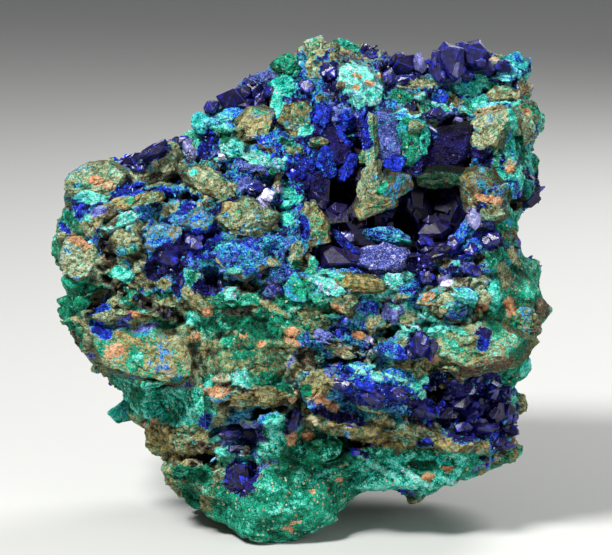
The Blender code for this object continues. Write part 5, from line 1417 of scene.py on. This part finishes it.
# Groups of crystals: x, h, mm sunk, width, height, thickness, turn, how far it faces up and to the right, finish.
crystalGroups = {
    "azurite_top_rim": [
        (26.3, 85.2, 0.5, 6.2, 7.0, 6.0, 4, 0, -4, "dusk"), (30.4, 86.5, 0.5, 6.0, 5.2, 5.4, -16, 0, 8, "dusk"),
        (32.6, 84.2, 0.2, 5.0, 3.2, 4.0, -12, 6, 0, "dusk"), (23.9, 83.0, 0.3, 2.6, 4.6, 3.0, 10, 5, -10, "dusk"),
        (26.1, 82.0, -0.4, 3.8, 1.8, 2.2, 0, 25, 0, "plate"), (29.4, 82.7, 0.0, 2.8, 2.0, 2.4, 20, 15, 0, "azurite"),
        (36.0, 84.2, 0.2, 3.0, 2.4, 3.0, -14, 5, 0, "dusk"), (28.4, 88.0, 0.8, 4.2, 1.8, 4.0, -4, 0, 0, "dusk"),
    ],
    "azurite_top_notch": [
        (18.4, 84.6, 0.3, 4.8, 4.2, 3.6, 28, 0, 6, "night"), (21.1, 84.4, 0.2, 1.7, 3.6, 2.0, 12, 5, 20, "plate"),
        (15.6, 82.2, 0.2, 1.9, 2.8, 2.0, -10, 5, -10, "azurite"),
        (18.0, 81.6, 0.0, 3.0, 1.9, 2.0, 4, 15, 0, "azurite"),
    ],
    "azurite_shoulder": [
        (-11.9, 78.4, 0.4, 6.6, 4.6, 4.6, 10, 0, -6, "night"),
        (-15.8, 77.0, 0.4, 2.8, 2.6, 3.0, 24, 0, -10, "azurite"),
        (-8.4, 80.4, 0.4, 3.8, 2.8, 3.4, -14, 0, 6, "night"), (-7.3, 77.2, 0.9, 2.8, 4.4, 3.0, -6, 0, 10, "night"),
        (-5.2, 79.6, 0.6, 2.6, 2.6, 2.6, 10, 0, 14, "azurite"),
    ],
    "azurite_left_ridge": [
        (-30.2, 67.4, 0.3, 5.4, 2.2, 3.6, 14, 10, -4, "night"), (-25.6, 68.9, 0.3, 5.4, 2.4, 3.8, 26, 5, 0, "night"),
        (-22.2, 70.6, 0.3, 3.8, 2.4, 3.2, 24, 5, 4, "azurite"),
        (-28.4, 66.0, 0.2, 2.6, 1.8, 2.0, 0, 20, 0, "azurite"),
    ],
    "azurite_lower_right": [
        (27.4, 26.0, 0.9, 4.8, 4.0, 4.4, 15, 5, -8, "night"), (34.8, 23.4, 0.9, 4.2, 4.2, 4.4, -5, 0, 14, "night"),
        (29.8, 23.2, 0.6, 3.8, 4.0, 4.0, 20, 8, -4, "azurite"),
        (25.2, 23.4, 1.0, 3.4, 3.6, 3.4, -12, 0, -10, "night"),
        (33.4, 26.8, 0.9, 2.6, 3.0, 3.0, 10, 10, 10, "azurite"),
        (31.9, 20.6, 0.8, 4.8, 2.6, 3.2, -8, 12, 0, "azurite"), (37.0, 19.9, 0.9, 3.6, 2.4, 3.2, -22, 5, 10, "night"),
        (35.4, 17.8, 1.0, 4.2, 2.0, 2.8, -14, 5, 6, "night"), (29.7, 27.4, -0.9, 1.1, 2.3, 0.9, 24, 20, -12, "glint"),
        (32.0, 24.2, 1.1, 3.0, 3.0, 3.0, 34, 0, 8, "azurite"), (28.0, 20.6, 1.1, 3.6, 2.4, 3.0, 14, 8, -4, "azurite"),
        (36.6, 22.4, 1.0, 2.0, 3.6, 2.6, -6, 0, 30, "azurite"),
    ],
    "azurite_on_foot": [
        (-10.3, 12.0, 1.0, 4.6, 4.6, 3.6, 8, 0, 0, "night"), (-11.4, 16.9, 0.6, 4.0, 1.6, 2.2, 10, 10, 0, "night"),
    ],
}
# Single crystals that stand out on the face, listed in the same way.
single = [
    (4.6, 66.0, 0.4, 1.6, 4.6, 1.4, 18, 0, 35, "azurite"), (23.4, 75.8, 0.2, 3.0, 2.0, 2.2, 14, 5, 6, "night"),
    (23.2, 51.2, 0.4, 5.6, 2.2, 2.4, 20, 25, 0, "night"), (29.6, 51.6, 0.2, 2.4, 2.2, 2.0, -35, 15, -10, "azurite"),
    (33.0, 53.4, 0.2, 3.4, 2.6, 2.2, 15, 20, -5, "azurite"), (24.8, 46.3, 0.0, 2.8, 1.8, 1.6, 12, 30, 0, "plate"),
    (20.4, 35.2, 0.0, 3.0, 4.2, 2.2, 10, 12, -10, "azurite"),
    (22.4, 34.6, 0.1, 1.8, 3.8, 1.6, -16, 15, 20, "azurite"),
    (18.9, 34.4, 0.2, 1.6, 2.6, 1.4, 30, 15, -25, "azurite"), (-1.2, 22.0, -0.2, 2.0, 4.4, 1.8, -15, 5, 0, "night"),
    (5.0, 83.0, 0.2, 3.0, 2.8, 2.0, 20, 15, 0, "azurite"), (-7.6, 62.3, 0.2, 3.6, 2.2, 1.6, -12, 25, 0, "azurite"),
    (-5.8, 61.0, 0.0, 2.4, 2.2, 1.4, 12, 15, 10, "glint"), (-13.8, 67.9, -0.2, 1.6, 1.0, 1.0, -10, 30, 0, "glint"),
    (4.8, 83.4, -0.2, 1.8, 1.2, 1.0, -20, 10, 0, "glint"), (-19.8, 69.6, 0.1, 1.8, 3.2, 1.4, 22, 15, 10, "plate"),
    (21.5, 46.9, 0.2, 2.4, 2.6, 1.8, 15, 15, 10, "azurite"), (29.6, 48.1, 0.2, 3.2, 2.2, 1.8, -10, 20, 0, "azurite"),
    (12.2, 26.4, 0.2, 4.0, 2.4, 2.0, -14, 25, 0, "azurite"), (16.8, 27.0, 0.2, 3.4, 2.2, 1.8, -12, 25, 0, "azurite"),
    (7.2, 28.6, 0.2, 3.4, 2.0, 1.8, -8, 20, 0, "azurite"), (21.2, 24.0, 0.3, 4.4, 2.6, 2.2, -20, 20, 5, "azurite"),
    (-18.2, 52.6, 0.3, 3.4, 3.0, 2.0, 30, 15, 0, "azurite"),
    (-22.6, 50.2, 0.3, 3.4, 3.2, 2.0, -20, 10, 10, "azurite"), (-4.6, 44.9, 0.3, 3.6, 2.0, 1.6, 5, 25, 0, "azurite"),
    (-12.6, 19.4, 0.2, 3.6, 1.8, 1.6, 0, 20, 0, "night"), (-8.8, 19.2, 0.2, 3.2, 1.8, 1.6, -8, 20, 0, "night"),
    (19.0, 76.6, 0.3, 2.4, 2.4, 1.6, 0, 10, 0, "night"), (1.0, 80.4, 0.3, 3.0, 2.6, 1.8, 25, 15, 0, "azurite"),
]
# Crystals in the hollow have a depth of their own: x, h, d, and then the same.
inHollow = [
    (6.4, 50.2, -25.0, 8.8, 4.6, 3.0, -10, 24, 6, "violetWall"), (7.7, 53.6, -24.0, 3.4, 1.8, 1.6, 4, 26, 0, "plate"),
    (23.0, 72.6, -19.2, 2.2, 0.4, 0.6, -35, 10, 0, "glint"), (27.6, 74.4, -15.0, 2.4, 1.3, 1.2, -14, 10, 0, "plate"),
    (3.0, 61.6, -20.6, 4.4, 6.4, 3.2, -10, 4, 36, "violetWall"),
    (5.2, 57.4, -20.4, 5.0, 4.4, 3.0, 14, 14, 22, "violetWall"), (9.6, 56.6, -19.2, 5.4, 5.4, 3.0, -8, 18, -6, "vug"),
    (30.0, 56.8, -23.4, 2.4, 4.0, 1.6, 10, 10, -20, "plate"), (20.4, 57.6, -15.6, 5.2, 8.6, 3.4, 16, 8, 30, "vug"),
    (26.6, 58.4, -15.2, 5.0, 7.6, 3.4, -12, 6, -30, "vug"),
    (23.4, 55.0, -18.6, 6.4, 4.0, 3.0, 8, 30, 0, "violetWall"),
    (21.6, 52.9, -22.6, 3.4, 2.2, 2.0, -24, 20, 10, "azurite"),
    (26.4, 52.6, -23.0, 2.4, 3.0, 2.0, -30, 15, -14, "azurite"),
]


def tabularCrystal(bm, place, width, height, thickness, turn, lift, swing, seed):
    # a thick many-sided tablet, its broad face turned to the viewer, and smaller ones grown parallel to it
    rng = np.random.default_rng(seed)
    stand = Matrix.Translation(place) @ turned(turn, lift, swing).to_4x4() @ Matrix.Scale(mm, 4)
    members = [(0.0, 0.0, 0.0, 1.0)]
    for _ in range(int(rng.integers(2, 5)) if width * height > 4 else 0):
        t = rng.uniform(0, 6.28)
        members.append((math.cos(t) * width * 0.34, math.sin(t) * height * 0.34, rng.uniform(-0.1, 0.34) * thickness,
                        rng.uniform(0.4, 0.68)))
    for across, along, out, scale in members:
        own = bmesh.new()
        corners = int(rng.integers(4, 8))
        for level, shrink in ((-1.0, 0.9), (0.5, 1.0), (1.0, 0.78)):
            for k in range(corners):
                a = 2 * math.pi * (k + 0.5 * rng.uniform(0.3, 1.7)) / corners
                own.verts.new((across + math.cos(a) * width / 2 * shrink * scale * rng.uniform(0.84, 1.12),
                               along + math.sin(a) * height / 2 * shrink * scale * rng.uniform(0.84, 1.12),
                               out + level * thickness / 2 * (0.5 + 0.5 * scale)
                               + (rng.uniform(-0.2, 0.14) * thickness * scale if level == 1.0 else 0)))
        hullOf(own)
        bmesh.ops.dissolve_limit(own, angle_limit=0.06, verts=own.verts, edges=own.edges)
        bmesh.ops.recalc_face_normals(own, faces=own.faces)
        own.transform(stand)
        pourInto(bm, own)


crystalBevel = {"width": 0.13, "segments": 1, "angle": 20, "edgeGroupAngle": 24}


def wornEdges(obj, angle, material=-1):
    # wears an object's sharp edges to a fine bevel, with a material of its own where one is given
    bevel = obj.modifiers.new("Bevel", "BEVEL")
    bevel.width = crystalBevel["width"] * mm
    bevel.segments = crystalBevel["segments"]
    bevel.limit_method = "ANGLE"
    bevel.angle_limit = math.radians(angle)
    bevel.material = material
    obj.data = plainMesh(obj, obj.name)
    obj.modifiers.clear()


def seatOf(x, h, sunk, height, thickness):
    # a crystal's place, some mm below the rock behind it; one of the ball gives the ball's sinking and its own rise
    onBall = isinstance(sunk, tuple)
    levels = (ball["h"],) if onBall else (h, h - 0.3 * height, h - 0.6 * height)
    spots = [ground.ray_cast(onFace(ball["x"] if onBall else x, level, -60), intoRock)[0] for level in levels]
    depth = min([s.dot(intoRock) for s in spots if s], default=-0.01)
    inward = sunk[0] - sunk[1] if onBall else sunk - 0.25 * thickness
    return onFace(x, h) + intoRock * (depth - onFace(x, h).dot(intoRock) + inward * mm)


def crystalPiece(name, entries, seed, ownDepth=False):
    # one mesh of several crystals, each set on the rock behind it or at its own depth, with worn edges
    bm = bmesh.new()
    for k, (x, h, third, width, height, thickness, turn, lift, swing, finish) in enumerate(entries):
        place = onFace(x, h, third) if ownDepth else seatOf(x, h, third, height, thickness)
        before = len(bm.faces)
        tabularCrystal(bm, place, width, height, thickness, turn, lift, swing, seed + k)
        bm.faces.ensure_lookup_table()
        for f in bm.faces[before:]:
            f.material_index = list(finishes).index(finish)
    made = addObject(name, meshOf(bm, name))
    for material in finishes.values():
        made.data.materials.append(material)
    # the bevels take the rim finish, painted vivid blue as light through thin edges
    wornEdges(made, crystalBevel["angle"], list(finishes).index("rim"))
    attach(made, "root")
    print(name, "triangles", triangleCount(made.data))
    return made


# The ball of crystals on the foot: its middle as x, h and mm sunk, its radius, how many tablets cover it, their size
# and thickness, and how many degrees those at its rim are turned away.
ball = {"x": -10.3, "h": 12.0, "sunk": 1.3, "radius": 2.9, "tablets": 52, "size": 1.5, "thickness": 1.3,
        "spread": 60}
for k in range(ball["tablets"]):
    level, t = 1 - 0.95 * (k + 0.5) / ball["tablets"], 2.4 * k
    dx, dh = math.sqrt(1 - level ** 2) * math.cos(t), math.sqrt(1 - level ** 2) * math.sin(t)
    size = ball["size"] * (0.8 + 0.4 * (k * 7 % 5) / 4)
    crystalGroups["azurite_on_foot"].append((
        ball["x"] + ball["radius"] * dx, ball["h"] + ball["radius"] * dh, (ball["sunk"], ball["radius"] * level), size,
        size, ball["thickness"], 57 * k % 180, ball["spread"] * dh, ball["spread"] * dx,
        "azurite" if k % 3 == 1 else "night"))

for number, (node, entries) in enumerate(crystalGroups.items()):
    group = crystalPiece(node.replace("azurite_", "crystals_"), entries, 500 + 40 * number)
    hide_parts(node)
crystalPiece("azuriteTablets", single, 900)
crystalPiece("hollowTablets", inHollow, 960, ownDepth=True)

# The crystal group on the right edge keeps its solid's shape, with its edges worn to a fine bevel.
edgeGroup = addObject("crystals_right_edge", mergedCopy("azurite_right_edge"))
wornEdges(edgeGroup, crystalBevel["edgeGroupAngle"])
edgeGroup.data.materials.append(finishes["night"])
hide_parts("azurite_right_edge")
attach(edgeGroup, "root")
print("crystals_right_edge triangles", triangleCount(edgeGroup.data))

# The crust's floor lies a little behind the solid's, and crystals grow on it where there is room in front of it.
floorLook = {"behind": 0.9, "start": 0.3, "room": 1.5}
crust = mergedCopy("vug_crust")
hollow = addObject("vugFloor", crust)
for v in crust.vertices:
    v.co += intoRock * floorLook["behind"] * mm
# the hollow's finish is painted darker than the azurite elsewhere, as shade
crust.materials.append(finishes["vug"])
skin = Skin(crust)
tree = surfaceTree(skin.co, crust)
clear = []
for c, n in zip(skin.co, skin.normal):
    hit = tree.ray_cast(Vector(c) + Vector(n) * floorLook["start"], Vector(n), 30)[3]
    clear.append(0.0 if hit is not None and hit < floorLook["room"] else 1.0)
skin.store("openShare", np.array(clear))
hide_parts("vug_crust")
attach(hollow, "root")
grow(hollow, "vugCrystals", "openShare", scatterValues(druseLook["vug"], points, finishes["vug"]))

# The camera looks square onto the display face.
view = {"aim": (0.9, 46.9), "distance": 551, "lens": 180, "sensor": 36, "near": 0.01}
camera = bpy.data.cameras.new("camera")
camera.lens = view["lens"]
camera.sensor_width = view["sensor"]
camera.clip_start = view["near"]
cameraPlace = onFace(*view["aim"], -view["distance"])
seat = addObject("camera", camera)
seat.matrix_world = Matrix.Translation(cameraPlace) @ faceTurn.to_4x4()
bpy.context.scene.camera = seat
print("camera", view["distance"], "mm from the display face")

studio = {
    "key": {"place": (-0.28, -0.36, 0.56), "size": 0.18, "power": 9.6},
    "fill": {"place": (0.45, -0.42, 0.20), "size": 0.45, "power": 1.8},
    "back": {"place": (0.25, 0.38, 0.42), "size": 0.30, "power": 2.6},
    "lit": (0, 0, 0.045), "air": "#c4c8cc", "airStrength": 0.34, "floor": "#b8b8b5", "floorRadius": 1.6, "bend": 0.5,
    "wallHeight": 1.0, "sides": 96,
}
for name in ("key", "fill", "back"):
    lamp = bpy.data.lights.new(name, "AREA")
    lamp.shape = "DISK"
    lamp.size = studio[name]["size"]
    lamp.energy = studio[name]["power"]
    holder = addObject(name, lamp)
    holder.location = studio[name]["place"]
    holder.rotation_euler = (Vector(studio["lit"]) - holder.location).to_track_quat("-Z", "Y").to_euler()

world = bpy.data.worlds.new("studio air")
world.use_nodes = True
sky = world.node_tree.nodes["Background"]
sky.inputs["Color"].default_value = linear(studio["air"])
sky.inputs["Strength"].default_value = studio["airStrength"]
bpy.context.scene.world = world
bpy.context.scene.view_settings.view_transform = "Standard"

# a round bowl of card, so that the floor rises into the background without a line
bm = bmesh.new()
profile = [(0.02, 0.0), (studio["floorRadius"], 0.0)]
for k in range(1, 9):
    a = k / 8 * math.pi / 2
    profile.append((studio["floorRadius"] + studio["bend"] * math.sin(a), studio["bend"] * (1 - math.cos(a))))
profile.append((studio["floorRadius"] + studio["bend"], studio["wallHeight"]))
angles = np.linspace(0, 2 * math.pi, studio["sides"], endpoint=False)
rings = [[bm.verts.new((r * math.cos(t), r * math.sin(t), z)) for t in angles] for r, z in profile]
bm.faces.new(rings[0])
for lower, upper in zip(rings, rings[1:]):
    for k in range(len(lower)):
        bm.faces.new((lower[k - 1], upper[k - 1], upper[k], lower[k]))
for polygon in bm.faces:
    polygon.smooth = True
bmesh.ops.recalc_face_normals(bm, faces=bm.faces)
floor = addObject("floor", meshOf(bm, "floor"))
card = bpy.data.materials.new("matt grey card")
card.use_nodes = True
paper = card.node_tree.nodes["Principled BSDF"].inputs
paper["Base Color"].default_value = linear(studio["floor"])
paper["Roughness"].default_value = 0.7
floor.data.materials.append(card)
print("studio has", len(floor.data.polygons), "faces of card and 3 lamps")
